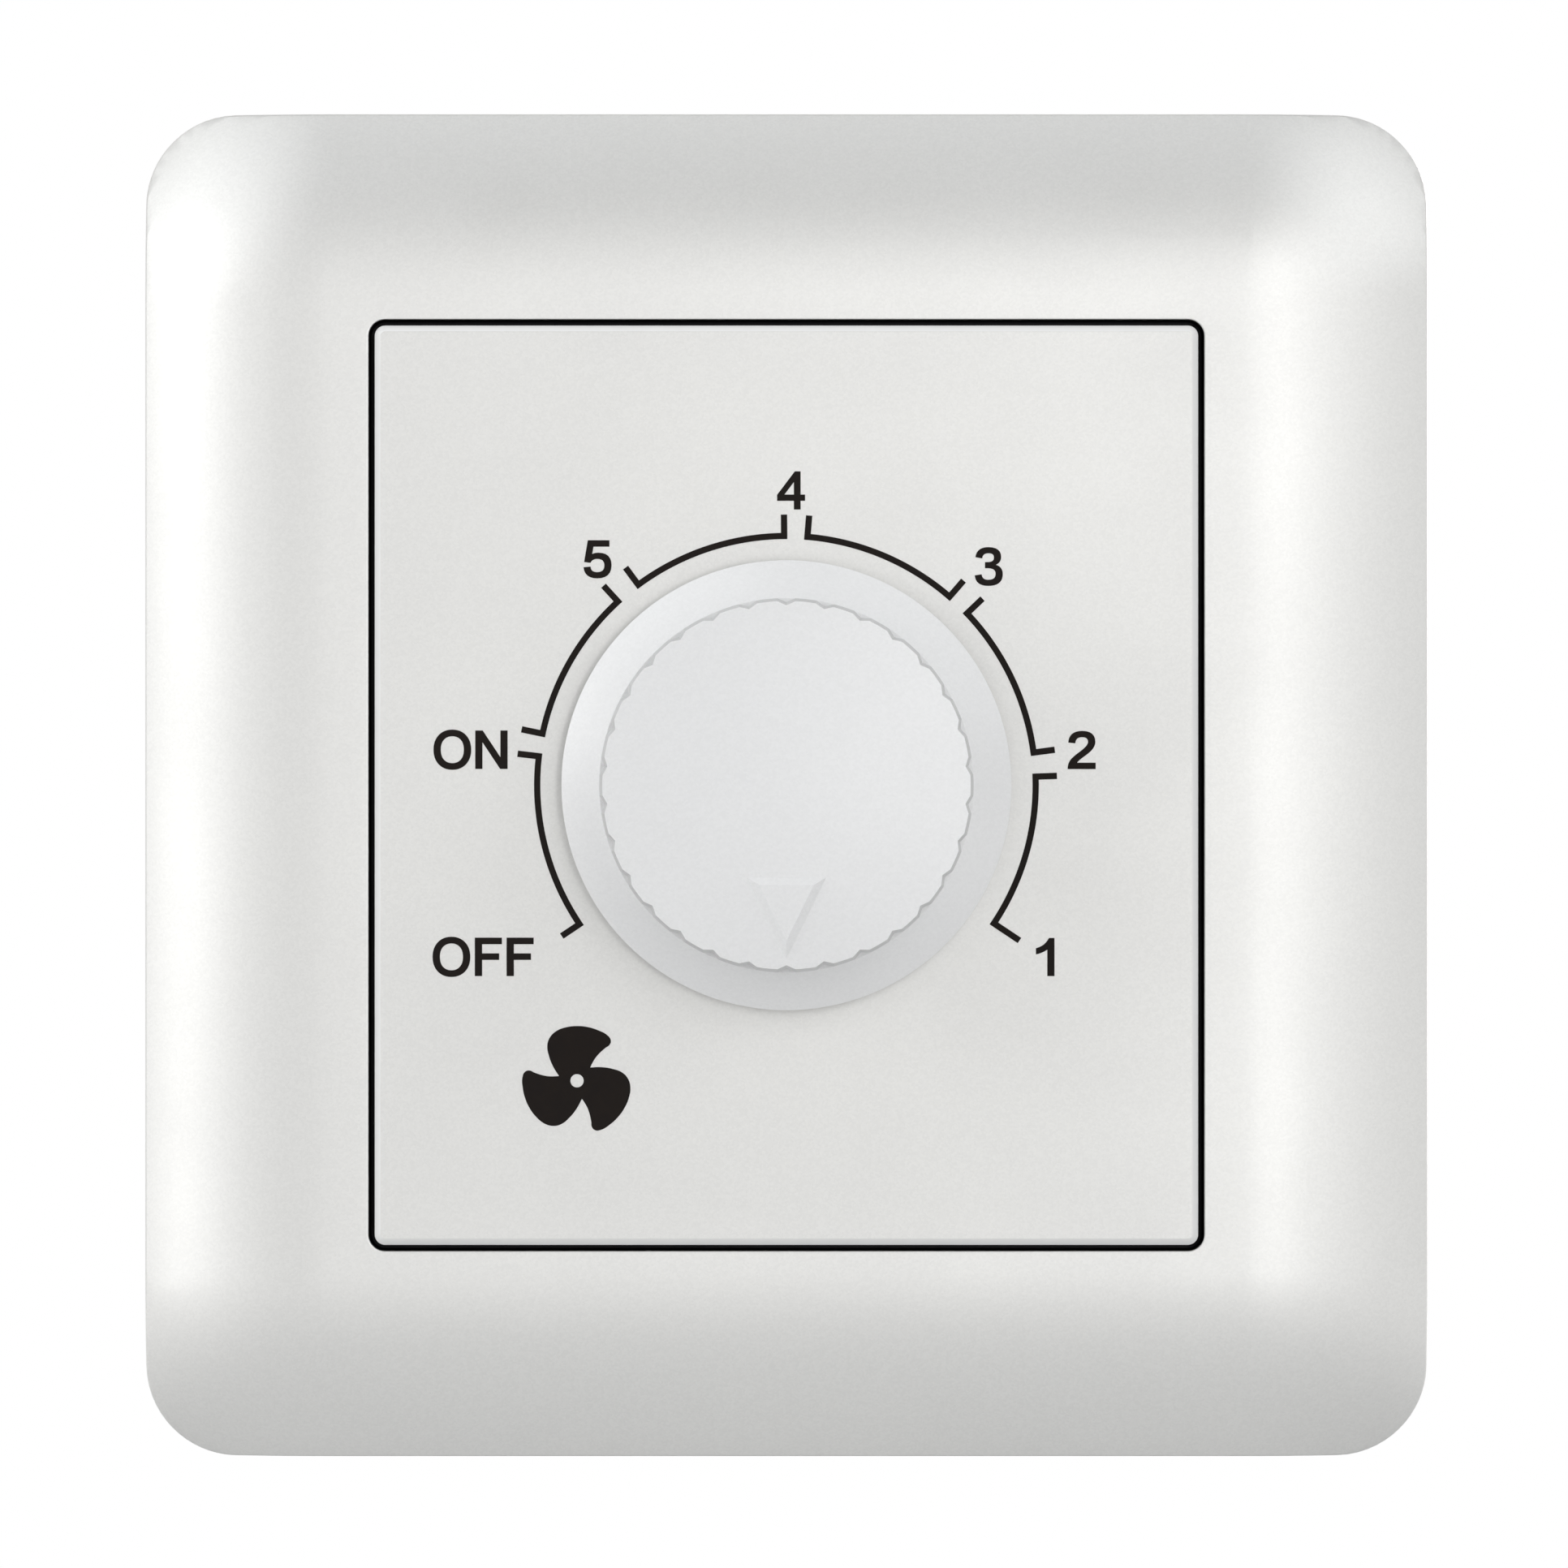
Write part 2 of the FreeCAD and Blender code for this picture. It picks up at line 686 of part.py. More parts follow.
def make_outer_frame():
    """Pillow-crowned shell: arcs along the sides, spheres at the corners, a ledge for the panel, legs."""
    core = new_body("frame_core")
    make_pillow(core, "core", "frame_wall", crowned=False)
    body = new_body("outer_frame")
    make_pillow(body, "frame", "0", crowned=True)
    hollow = body.newObject("PartDesign::Boolean", "frame_hollow")
    hollow.Type = "Cut"
    hollow.setObjects([core])
    lip = front_sketch(body, "frame_lip", "bulkhead_level")
    rounded_rectangle(lip, "opening_width + 2 * lip_wall", "opening_height + 2 * lip_wall",
                      "opening_corner + lip_wall")
    pad(body, lip, "frame_level - frame_wall / 2 - bulkhead_level")
    frame_legs(body)
    opening = front_sketch(body, "frame_opening", "frame_level")
    rounded_rectangle(opening, "opening_width", "opening_height", "opening_corner")
    pocket(body, opening, "frame_level - ledge_level")
    inner = front_sketch(body, "frame_ledge", "ledge_level")
    rectangle(inner, "panel_width - 2 * ledge_reach", "panel_height - 2 * ledge_reach")
    pocket(body, inner, "ledge_level")
    notch = front_sketch(body, "pry_notch", "0", "0", "0 - plate_height / 2")
    rectangle(notch, "pry_notch_width", "3 * frame_wall")
    pocket(body, notch, "pry_notch_height", forward=True)
    return node("outer_frame", body)


def edges_on_level(item, level):
    """Names of the edges that lie wholly on a level in front of the wall."""
    boxes = [edge.BoundBox for edge in item.Shape.Edges]
    return [f"Edge{i}" for i, box in enumerate(boxes, start=1)
            if abs(box.YMin + level) < LEVEL_MATCH and abs(box.YMax + level) < LEVEL_MATCH]


# Front panel

def make_front_panel():
    """Flat dial panel: a shallow tray with a bevelled edge that clips through the chassis."""
    body = new_body("front_panel")
    plate = front_sketch(body, "panel_plate", "ledge_level")
    rounded_rectangle(plate, "panel_width", "panel_height", "panel_corner")
    raised = pad(body, plate, "panel_level - ledge_level")
    doc.recompute()
    bevel = body.newObject("PartDesign::Chamfer", "panel_edge")
    bevel.Base = (raised, edges_on_level(raised, worth("panel_level")))
    bind(bevel, "Size", "panel_bevel")
    hollow = front_sketch(body, "panel_hollow", "ledge_level")
    rectangle(hollow, "panel_width - 2 * panel_skirt", "panel_height - 2 * panel_skirt")
    pocket(body, hollow, "panel_back - ledge_level", forward=True)
    hole = front_sketch(body, "panel_hole", "panel_level")
    circle(hole, "panel_hole_radius")
    pocket(body, hole, "panel_wall")
    for side in (-1, 1):
        for half in (-1, 1):
            tag = f"{'left' if side < 0 else 'right'}_{'lower' if half < 0 else 'upper'}"
            x = f"{side} * panel_leg_spacing / 2"
            leg = front_sketch(body, "clip_" + tag, "barb_level", x, f"{half} * panel_leg_up")
            rectangle(leg, "panel_leg_width", "panel_leg_wall")
            pad(body, leg, "panel_level - panel_wall / 2 - barb_level")
            hook_up = f"{half} * (panel_leg_up + panel_leg_wall / 2 + barb_depth / 2)"
            hook = front_sketch(body, "clip_hook_" + tag, "barb_level", x, hook_up)
            rectangle(hook, "panel_leg_width", "barb_depth")
            pad(body, hook, "barb_height")
    return node("front_panel", body)


# Base chassis

def four_corners(x, up):
    """The four places at plus and minus half of two spacings."""
    return [(f"{a} * {x} / 2", f"{b} * {up} / 2") for a in (-1, 1) for b in (-1, 1)]


def make_base_chassis():
    """Moulded mounting plate: a bulkhead inside a wall, two screw slots, latch arms and clip windows."""
    body = new_body("base_chassis")
    tray = front_sketch(body, "tray", "0")
    rounded_rectangle(tray, "chassis_width", "chassis_height", "chassis_corner")
    pad(body, tray, "bulkhead_level")
    hollow = front_sketch(body, "tray_hollow", "0")
    rounded_rectangle(hollow, "chassis_width - 2 * chassis_wall", "chassis_height - 2 * chassis_wall",
                      "chassis_corner - chassis_wall")
    pocket(body, hollow, "bulkhead_back", forward=True)
    for side in (-1, 1):
        tag = "left" if side < 0 else "right"
        x = f"{side} * screw_spacing / 2"
        seat = front_sketch(body, "slot_pad_" + tag, "0", x)
        rectangle(seat, "recess_length + 2 * slot_pad_rim", "recess_width + 2 * slot_pad_rim")
        pad(body, seat, "bulkhead_level")
        recess = front_sketch(body, "slot_recess_" + tag, "bulkhead_level", x)
        rectangle(recess, "recess_length", "recess_width")
        pocket(body, recess, "bulkhead_level - slot_seat")
        opening = front_sketch(body, "screw_slot_" + tag, "slot_seat", x)
        slot(opening, "slot_length", "slot_width")
        pocket(body, opening, "slot_seat")
    posts = front_sketch(body, "board_posts", "board_front")
    for half in (-1, 1):
        rectangle(posts, "post_width", "post_width", "0", f"{half} * post_up")
    pad(body, posts, "bulkhead_level - bulkhead_wall / 2 - board_front")
    arms = front_sketch(body, "latch_arms", "latch_end")
    hooks = front_sketch(body, "latch_hooks", "latch_end")
    for x, up in four_corners("(2 * latch_x)", "latch_spacing"):
        rectangle(arms, "latch_wall", "latch_width", x, up)
    for x, up in four_corners("(2 * latch_x - latch_wall - barb_depth)", "latch_spacing"):
        rectangle(hooks, "barb_depth", "latch_width", x, up)
    pad(body, arms, "bulkhead_level - bulkhead_wall / 2 - latch_end")
    pad(body, hooks, "barb_height")
    bush_hole = front_sketch(body, "bush_hole", "bulkhead_level")
    circle(bush_hole, "bush_radius + moulding_clearance")
    rectangle(bush_hole, "lug_width + 2 * moulding_clearance", "lug_wall + 2 * moulding_clearance",
              "0", "0 - lug_offset")
    pocket(body, bush_hole, "bulkhead_wall")
    windows = front_sketch(body, "clip_windows", "bulkhead_level")
    for x, up in four_corners("panel_leg_spacing", "(2 * panel_leg_up)"):
        rectangle(windows, "panel_leg_width + 2 * moulding_clearance",
                  "panel_leg_wall + 2 * moulding_clearance", x, up)
    pocket(body, windows, "bulkhead_wall")
    catches = front_sketch(body, "frame_catches", "0")
    for x, up in four_corners("(chassis_width - barb_depth)", "frame_leg_spacing"):
        rectangle(catches, "barb_depth + 2 * moulding_clearance",
                  "frame_leg_width + 2 * moulding_clearance", x, up)
    pocket(body, catches, "bulkhead_back", forward=True)
    return node("base_chassis", body)


# Rear housing

def make_rear_housing():
    """Open-fronted box with board ribs, vents, notches for the latches and a window for the terminals."""
    body = new_body("rear_housing")
    shell = front_sketch(body, "shell", "housing_back")
    rounded_rectangle(shell, "housing_width", "housing_height", "housing_corner")
    pad(body, shell, "bulkhead_back - housing_back")
    hollow = front_sketch(body, "shell_hollow", "bulkhead_back")
    rectangle(hollow, "housing_inside_width", "housing_inside_height")
    pocket(body, hollow, "bulkhead_back - housing_back - housing_wall")
    ribs = front_sketch(body, "board_ribs", "housing_back")
    for side in (-1, 1):
        rectangle(ribs, "2 * rib_wall", "rib_length", f"{side} * housing_inside_width / 2")
    pad(body, ribs, "board_back - housing_back")
    catches = front_sketch(body, "latch_catches", "latch_end - moulding_clearance")
    for x, up in four_corners("housing_width", "latch_spacing"):
        rectangle(catches, "2 * barb_depth", "latch_width + 2 * moulding_clearance", x, up)
    pocket(body, catches, "barb_height + 2 * moulding_clearance", forward=True)
    window = front_sketch(body, "terminal_window", "housing_back", "0", "0 - housing_height / 2")
    rectangle(window, "block_width + 2 * moulding_clearance", "2 * (block_height + moulding_clearance)")
    pocket(body, window, "board_back - housing_back", forward=True)
    first = "0 - (vent_count - 1) * vent_pitch / 2"
    vent = front_sketch(body, "vent", "housing_back", first, "vent_up")
    rectangle(vent, "vent_width", "vent_length")
    in_row(body, pocket(body, vent, "housing_wall", forward=True), vent, "vent_count", "vent_pitch")
    return node("rear_housing", body)


# Potentiometer

def make_pot_bushing():
    """Die-cast front plate and threaded bush, with a lug that keeps it from turning."""
    body = new_body("pot_bushing")
    plate = front_sketch(body, "bush_plate", "flange_back")
    rectangle(plate, "pot_width", "pot_height")
    pad(body, plate, "flange_wall")
    nose = front_sketch(body, "bush_nose", "flange_back")
    circle(nose, "bush_radius")
    pad(body, nose, "bush_front - flange_back")
    lug = front_sketch(body, "bush_lug", "flange_back", "0", "0 - lug_offset")
    rectangle(lug, "lug_width", "lug_wall")
    pad(body, lug, "flange_wall + lug_length")
    bore = front_sketch(body, "bush_bore", "bush_front")
    circle(bore, "shaft_bore")
    pocket(body, bore, "bush_front - flange_back")
    return node("pot_bushing", body)


def make_pot_fasteners():
    """Square lock washer and hexagon nut on the bush."""
    bore = "bush_radius + running_clearance"
    plate = block("washer_plate", "0", "0", "bulkhead_level", "washer_width", "washer_width", "washer_wall")
    plate_hole = rod("washer_hole", "0", "0", "bulkhead_level", bore, "washer_wall")
    node("pot_washer", cut("washer_cut", plate, plate_hole))
    level = "bulkhead_level + washer_wall"
    prism = hexagon("pot_nut_prism", "0", "0", level, "nut_across_flats", "nut_wall")
    hole = rod("pot_nut_hole", "0", "0", level, bore, "nut_wall")
    node("pot_nut", cut("pot_nut_cut", prism, hole))


def make_pot_shaft():
    """Round shaft with a chamfered end and a flat for the knob."""
    body = new_body("pot_shaft")
    profile = axis_sketch(body, "shaft_profile", "shaft_back")
    end = "shaft_front - shaft_back"
    outline(profile, [("0", "0"), ("shaft_radius", "0"), ("shaft_radius", f"{end} - shaft_chamfer"),
                      ("shaft_radius - shaft_chamfer", end), ("0", end)])
    revolve(body, profile)
    flat = front_sketch(body, "shaft_flat_cut", "shaft_front", "0", "shaft_flat + shaft_radius / 2")
    rectangle(flat, "2 * shaft_radius", "shaft_radius")
    pocket(body, flat, "shaft_flat_length")
    return node("pot_shaft", body)


def make_pot_rotor():
    """Moulded hexagonal rotor that the shaft carries inside the case."""
    level = "shaft_back + rotor_lift"
    prism = hexagon("rotor_prism", "0", "0", level, "rotor_across_flats", "rotor_wall")
    hole = rod("rotor_hole", "0", "0", level, "shaft_bore", "rotor_wall")
    return node("pot_rotor", cut("rotor_cut", prism, hole))


def make_pot_case():
    """Moulded case of the potentiometer and its snap switch, with a round chamber for the rotor."""
    body = new_body("pot_case")
    box = front_sketch(body, "case_box", "pot_back")
    rectangle(box, "pot_width", "pot_height")
    raised = pad(body, box, "pot_depth")
    doc.recompute()
    edge = body.newObject("PartDesign::Chamfer", "case_edge")
    edge.Base = (raised, edges_on_level(raised, worth("pot_back")))
    bind(edge, "Size", "pot_edge")
    chamber = front_sketch(body, "rotor_chamber", "flange_back")
    circle(chamber, "rotor_radius + rotor_clearance")
    pocket(body, chamber, "shaft_depth + rotor_clearance")
    return node("pot_case", body)


def make_pot_pins():
    """Three pins of the track in one row and two of the switch in another."""
    row = "(pot_height / 2 - pot_pin_inset)"
    places = [(f"{step} * pot_pin_pitch", f"0 - {row}") for step in (-1, 0, 1)]
    places += [(f"{step} * pot_pin_pitch", row) for step in (-1, 1)]
    pins = [block(f"pot_pin_{index}", x, up, "board_front", "pot_pin_width", "pot_pin_wall",
                  "board_standoff") for index, (x, up) in enumerate(places)]
    return node("pot_pins", group("pot_pin_set", pins))


# Knob

def make_knob():
    """Skirted knob: turned profile, hub and ribs inside, drafted and fluted grip, raised pointer."""
    body = new_body("knob")
    profile = axis_sketch(body, "knob_profile", "knob_base")
    roof = "knob_height - knob_roof"
    points = [("0", "hub_start"), ("hub_radius", "hub_start"), ("hub_radius", roof), ("cavity_radius", roof),
              ("cavity_radius", "0"), ("skirt_radius", "0"), ("skirt_radius", "skirt_edge"),
              ("grip_radius + grip_draft", "grip_base"), ("grip_radius", "knob_height"), ("0", "knob_height")]
    outline(profile, points)
    revolve(body, profile)
    rib = front_sketch(body, "hub_rib", "knob_base + hub_rib_start", "(hub_radius + cavity_radius) / 2")
    rectangle(rib, "cavity_radius - hub_radius + knob_wall / 2", "hub_rib_wall")
    around_axis(body, pad(body, rib, f"{roof} - hub_rib_start + knob_roof / 2"), "hub_ribs")
    bore = front_sketch(body, "hub_bore", "knob_base + hub_start")
    d_shape(bore, "shaft_bore", "bore_flat")
    pocket(body, bore, "shaft_front + running_clearance - knob_base - hub_start", forward=True)
    flutes = []
    for name, level, up in (("flute_head", "knob_height", "grip_radius"),
                            ("flute_foot", "grip_base", "grip_radius + grip_draft")):
        flutes.append(front_sketch(body, name, f"knob_base + {level}", "0", up))
        outline(flutes[-1], [("0", "0 - flute_depth"), ("flute_width", "flute_depth"),
                             ("0 - flute_width", "flute_depth")])
    around_axis(body, loft(body, flutes, "SubtractiveLoft"), "flute_count")
    sections = []
    for name, level, share in (("pointer_foot", "knob_height", "1"),
                               ("pointer_face", "knob_height + pointer_rise", "pointer_shrink")):
        sections.append(front_sketch(body, name, f"knob_base + {level}", "0",
                                     "0 - pointer_offset - pointer_inradius"))
        outline(sections[-1], [(f"0 - {share} * pointer_width / 2", f"{share} * pointer_inradius"),
                               ("0", f"{share} * (pointer_inradius - pointer_length)"),
                               (f"{share} * pointer_width / 2", f"{share} * pointer_inradius")])
    loft(body, sections)
    return node("knob", body)


def make_knob_spring():
    """Leaf between the flat of the shaft and the flat of the knob's bore."""
    up = "shaft_flat + running_clearance + spring_wall / 2"
    leaf = block("knob_spring_leaf", "0", up, "shaft_front - spring_length", "spring_width", "spring_wall",
                 "spring_length")
    return node("knob_spring", leaf)


# Circuit board and what it carries

def make_circuit_board():
    """Plain rectangular board that rests on the housing's ribs."""
    board = block("board", "0", "0", "board_back", "board_width", "board_height", "board_wall")
    return node("circuit_board", board)


def make_heat_sink():
    """Bent aluminium plate: a foot on the board and an upright fin along the housing's wall."""
    foot = block("sink_foot", "sink_left + sink_width / 2", "sink_up", "board_front", "sink_width",
                 "sink_height", "sink_wall")
    fin = block("sink_fin_plate", "sink_left + sink_wall / 2", "sink_up", "board_front", "sink_wall",
                "sink_height", "sink_fin")
    return node("heat_sink", fuse("sink_bend", [foot, fin]))


def make_triac():
    """Flat power package on the heat sink, with a drilled tab and three leads bent down to the board."""
    body_up = "(triac_top + triac_bottom) / 2"
    case = block("triac_case", "triac_x", body_up, "sink_front", "triac_width", "triac_height", "triac_wall")
    tab_up = "triac_tab_top - triac_tab_height / 2"
    tab = block("triac_tab", "triac_x", tab_up, "sink_front", "triac_width", "triac_tab_height",
                "triac_tab_wall")
    solids = [case, tab]
    for index in (-1, 0, 1):
        x = f"triac_x + {index} * triac_lead_pitch"
        level = "sink_front + triac_lead_level"
        solids.append(block(f"triac_lead_{index}", x, "triac_bottom - triac_lead_reach / 2", level,
                            "triac_lead_width", "triac_lead_reach", "triac_lead_width"))
        foot_up = "triac_bottom - triac_lead_reach + triac_lead_width / 2"
        solids.append(block(f"triac_foot_{index}", x, foot_up, "board_front", "triac_lead_width",
                            "triac_lead_width", f"{level} - board_front"))
    hole = rod("triac_hole", "triac_x", "triac_hole_up", "sink_front", "triac_hole_radius", "triac_tab_wall")
    return node("triac", cut("triac_cut", fuse("triac_solid", solids), hole))


def make_triac_clip():
    """Spring clip on the fin that presses the package against the heat sink."""
    up = "(triac_top + triac_bottom) / 2"
    left = "sink_left + sink_wall"
    foot = block("clip_foot", f"{left} + clip_reach / 2", up, "triac_front", "clip_reach", "clip_width",
                 "clip_wall")
    leg = block("clip_leg", f"{left} + clip_wall / 2", up, "triac_front", "clip_wall", "clip_width",
                "board_front + sink_fin - (triac_front)")
    return node("triac_clip", fuse("clip_bend", [foot, leg]))


def make_choke():
    """Ferrite rod that lies along the board, and the wire wound round the middle of it."""
    level = "board_front + running_clearance + winding_wall + core_radius"
    node("choke_core", rod("choke_rod", "choke_x", "choke_up - core_length / 2", level, "core_radius",
                           "core_length", "up"))
    start = "choke_up - winding_length / 2"
    outer = rod("winding_outside", "choke_x", start, level, "core_radius + winding_wall",
                "winding_length", "up")
    inner = rod("winding_inside", "choke_x", start, level, "core_radius + running_clearance",
                "winding_length", "up")
    node("choke_winding", cut("winding_turns", outer, inner))


def make_box_part(name, prefix, along):
    """A moulded box held off the board by two flat leads."""
    x, up = f"{prefix}_x", f"{prefix}_up"
    solids = [block(name + "_box", x, up, "board_front + box_foot", f"{prefix}_width", f"{prefix}_height",
                    f"{prefix}_depth")]
    for side in (-1, 1):
        reach = f"{side} * ({prefix}_{along} / 2 - lead_inset)"
        lead_x, lead_up = (f"{x} + {reach}", up) if along == "width" else (x, f"{up} + {reach}")
        solids.append(block(f"{name}_lead_{side}", lead_x, lead_up, "board_front", "lead_width", "lead_width",
                            "box_foot"))
    return node(name, fuse(name + "_solid", solids))


def make_chips():
    """Two chip resistors and the trigger diac, soldered flat on the board."""
    pair = [block(f"resistor_{index}", "resistor_x", f"resistor_up + {index} * resistor_pitch", "board_front",
                  "resistor_width", "resistor_height", "resistor_depth") for index in (0, 1)]
    node("resistors", group("resistor_pair", pair))
    node("diac", block("diac_chip", "diac_x", "diac_up", "board_front", "diac_width", "diac_height",
                       "diac_depth"))


# Terminals

def make_terminal_block():
    """Two-pole moulding behind the board, flush with the rear and the bottom of the housing."""
    body = new_body("terminal_block")
    moulding = front_sketch(body, "block_outline", "housing_back", "0", "block_up")
    rectangle(moulding, "block_width", "block_height")
    pad(body, moulding, "board_back - housing_back")
    cells = front_sketch(body, "clamp_cells", "board_back", "0", "clamp_up")
    ways = front_sketch(body, "screw_ways", "housing_back", "0", "clamp_up")
    for side in (-1, 1):
        x = f"{side} * clamp_pitch / 2"
        rectangle(cells, "clamp_width + 2 * clamp_fit", "clamp_height + 2 * clamp_fit", x)
        circle(ways, "clamp_screw_way", x)
    pocket(body, cells, "clamp_depth + clamp_fit")
    pocket(body, ways, "clamp_back - housing_back", forward=True)
    for side in (-1, 1):
        tag = "left" if side < 0 else "right"
        entry = top_sketch(body, "wire_entry_" + tag, "0 - housing_height / 2", f"{side} * clamp_pitch / 2",
                           "wire_level")
        rectangle(entry, "wire_entry", "wire_entry")
        pocket(body, entry, "clamp_sill", forward=True)
    return node("terminal_block", body)


def make_clamps():
    """Brass clamps with a bore for the wire from below and a screw from the rear."""
    screws = []
    for name, side in (("line_terminal", -1), ("load_terminal", 1)):
        x = f"{side} * clamp_pitch / 2"
        brass = block(name + "_brass", x, "clamp_up", "clamp_back", "clamp_width", "clamp_height",
                      "clamp_depth")
        wire = rod(name + "_wire", x, "clamp_up - clamp_height / 2", "wire_level", "wire_radius",
                   "clamp_height", "up")
        reach = "wire_level - clamp_back"
        thread = rod(name + "_thread", x, "clamp_up", "clamp_back", "clamp_screw_radius + running_clearance",
                     reach)
        node(name, cut(name + "_cut", brass, fuse(name + "_bores", [wire, thread])))
        back = "wire_level - wire_radius - running_clearance - clamp_screw_length"
        shank = rod(name + "_shank", x, "clamp_up", back, "clamp_screw_radius", "clamp_screw_length")
        driver = block(name + "_slot", x, "clamp_up", back, "3 * clamp_screw_radius", "clamp_screw_slot",
                       "clamp_screw_slot_depth")
        screws.append(cut(name + "_screw", shank, driver))
    node("terminal_screws", group("terminal_screw_pair", screws))


# Checks and output

def check_document():
    """Stops on a failed object, an unsound shape, or a feature that adds or cuts nothing."""
    for item in doc.Objects:
        if "Invalid" in item.State or "Error" in item.State:
            raise RuntimeError(f"{item.Name} failed: {item.State}")
    for item in doc.Objects:
        if not item.isDerivedFrom("PartDesign::Feature") or item.BaseFeature is None:
            continue
        change = item.Shape.Volume - item.BaseFeature.Shape.Volume
        cuts = any(word in item.TypeId for word in ("Pocket", "Groove", "Chamfer", "Boolean", "Subtractive"))
        adds = any(word in item.TypeId for word in ("Pad", "Additive", "Revolution"))
        if (cuts and change > -NO_CHANGE) or (adds and change < NO_CHANGE):
            raise RuntimeError(f"{item.Name} changes nothing")
    for name, item in NODES.items():
        if item.Shape.isNull() or not item.Shape.isValid():
            raise RuntimeError(f"{name} has no sound shape")


doc = FreeCAD.newDocument("FanSpeedSwitch")
sheet = doc.addObject("Spreadsheet::Sheet", "Sizes")
for row, (alias, value) in enumerate(SIZES.items(), start=1):
    sheet.set(f"A{row}", alias)
    sheet.set(f"B{row}", str(value))
    sheet.setAlias(f"B{row}", alias)
doc.recompute()

make_outer_frame()
make_front_panel()
make_base_chassis()
make_rear_housing()
make_pot_bushing()
make_pot_fasteners()
make_pot_shaft()
make_pot_rotor()
make_pot_case()
make_pot_pins()
make_knob()
make_knob_spring()
make_circuit_board()
make_heat_sink()
make_triac()
make_triac_clip()
make_choke()
make_box_part("suppression_capacitor", "suppressor", "height")
make_box_part("timing_capacitor", "timer", "width")
make_box_part("fuse", "fuse", "width")
make_chips()
make_terminal_block()
make_clamps()
doc.recompute()
check_document()

os.makedirs("parts", exist_ok=True)
for name, item in NODES.items():
    item.Shape.exportStep(f"parts/{name}.step")
    print(f"{name}: {len(item.Shape.Solids)} solid(s), {item.Shape.Volume:.1f} mm3")
print(f"{len(NODES)} nodes written")
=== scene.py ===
# %% [markdown]
# # A fan speed control switch
# The switch is a wall plate: a rounded silver frame, a flat dial panel and a fluted knob, with a
# control module behind that sits in the wall box. The solids come from the CAD model and stay as
# they are. This lesson gives the frame and the knob a finer skin, prints the dial, gives everything
# its finish and lights the picture.

# %% Load the solids
import math
import re

import bpy
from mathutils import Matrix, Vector


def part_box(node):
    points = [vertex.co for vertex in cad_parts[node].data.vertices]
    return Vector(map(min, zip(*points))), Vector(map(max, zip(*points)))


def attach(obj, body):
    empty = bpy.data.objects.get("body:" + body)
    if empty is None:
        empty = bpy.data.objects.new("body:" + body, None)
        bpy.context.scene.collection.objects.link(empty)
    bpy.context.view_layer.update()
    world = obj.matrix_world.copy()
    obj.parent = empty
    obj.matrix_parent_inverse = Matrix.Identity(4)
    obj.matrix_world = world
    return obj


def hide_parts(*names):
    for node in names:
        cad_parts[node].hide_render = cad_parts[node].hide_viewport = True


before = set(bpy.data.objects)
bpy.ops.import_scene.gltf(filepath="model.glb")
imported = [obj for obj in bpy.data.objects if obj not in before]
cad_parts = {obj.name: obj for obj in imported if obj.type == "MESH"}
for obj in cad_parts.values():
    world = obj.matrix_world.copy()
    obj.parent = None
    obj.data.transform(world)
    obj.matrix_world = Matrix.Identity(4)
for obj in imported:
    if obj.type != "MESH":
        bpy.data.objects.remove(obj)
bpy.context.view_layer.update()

MM = 0.001
# Corners that are closer than this are merged
MERGE = 0.001 * MM

# %% [markdown]
# ## Where the panel's face is
# Everything that is printed lies on the front of the dial panel. Its level is read from the solid,
# so the print follows the CAD model. The ink is sunk a little into the panel, stands a few
# hundredths of a millimetre proud and spreads as much past its outline, as pad-printed ink does.

# %% The level of the print
panel_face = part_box("front_panel")[0][1]
INK_PROUD = 0.02 * MM
INK_SUNK = 0.01 * MM
INK_SPREAD = 0.025 * MM
INK_THICKNESS = INK_PROUD + INK_SUNK
ink_middle = panel_face + (INK_SUNK - INK_PROUD) / 2
print("panel face at y =", round(panel_face / MM, 3), "mm")

# %% [markdown]
# ## Small helpers
# Operators work on what is selected, so each piece starts with nothing selected. A finished piece
# has its place in its mesh, rides on a body of the CAD model and is given one of the finishes made below.


# %% Start and finish a piece
def select_only(*pieces):
    bpy.ops.object.select_all(action="DESELECT")
    for piece in pieces:
        piece.select_set(True)
        bpy.context.view_layer.objects.active = piece


def settle(piece):
    """Writes the object's place, turn and scale into its mesh."""
    select_only(piece)
    bpy.ops.object.transform_apply(location=True, rotation=True, scale=True)


def hand_over(piece, name, body):
    settle(piece)
    piece.name = name
    piece.data.name = name
    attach(piece, body)
    print(name, "has", len(piece.data.polygons), "faces and rides on", body)


# %% [markdown]
# ## The skin of the frame
# The frame is moulded and then painted, so its edges are never quite sharp, and its crown runs without a
# seam into the corners. A copy of the solid is merged to one skin, its flat parts are joined to single
# faces, and a Bevel modifier rounds the edges. The copy then stands for the solid. Rounding the edges in
# the CAD model would do as well, but would cost it many small faces.


# %% Make the skin
SKIN_FLAT = math.radians(0.2)
SKIN_ROUND = 0.15 * MM
SKIN_SEGMENTS = 2
SKIN_CREASE = math.radians(35)


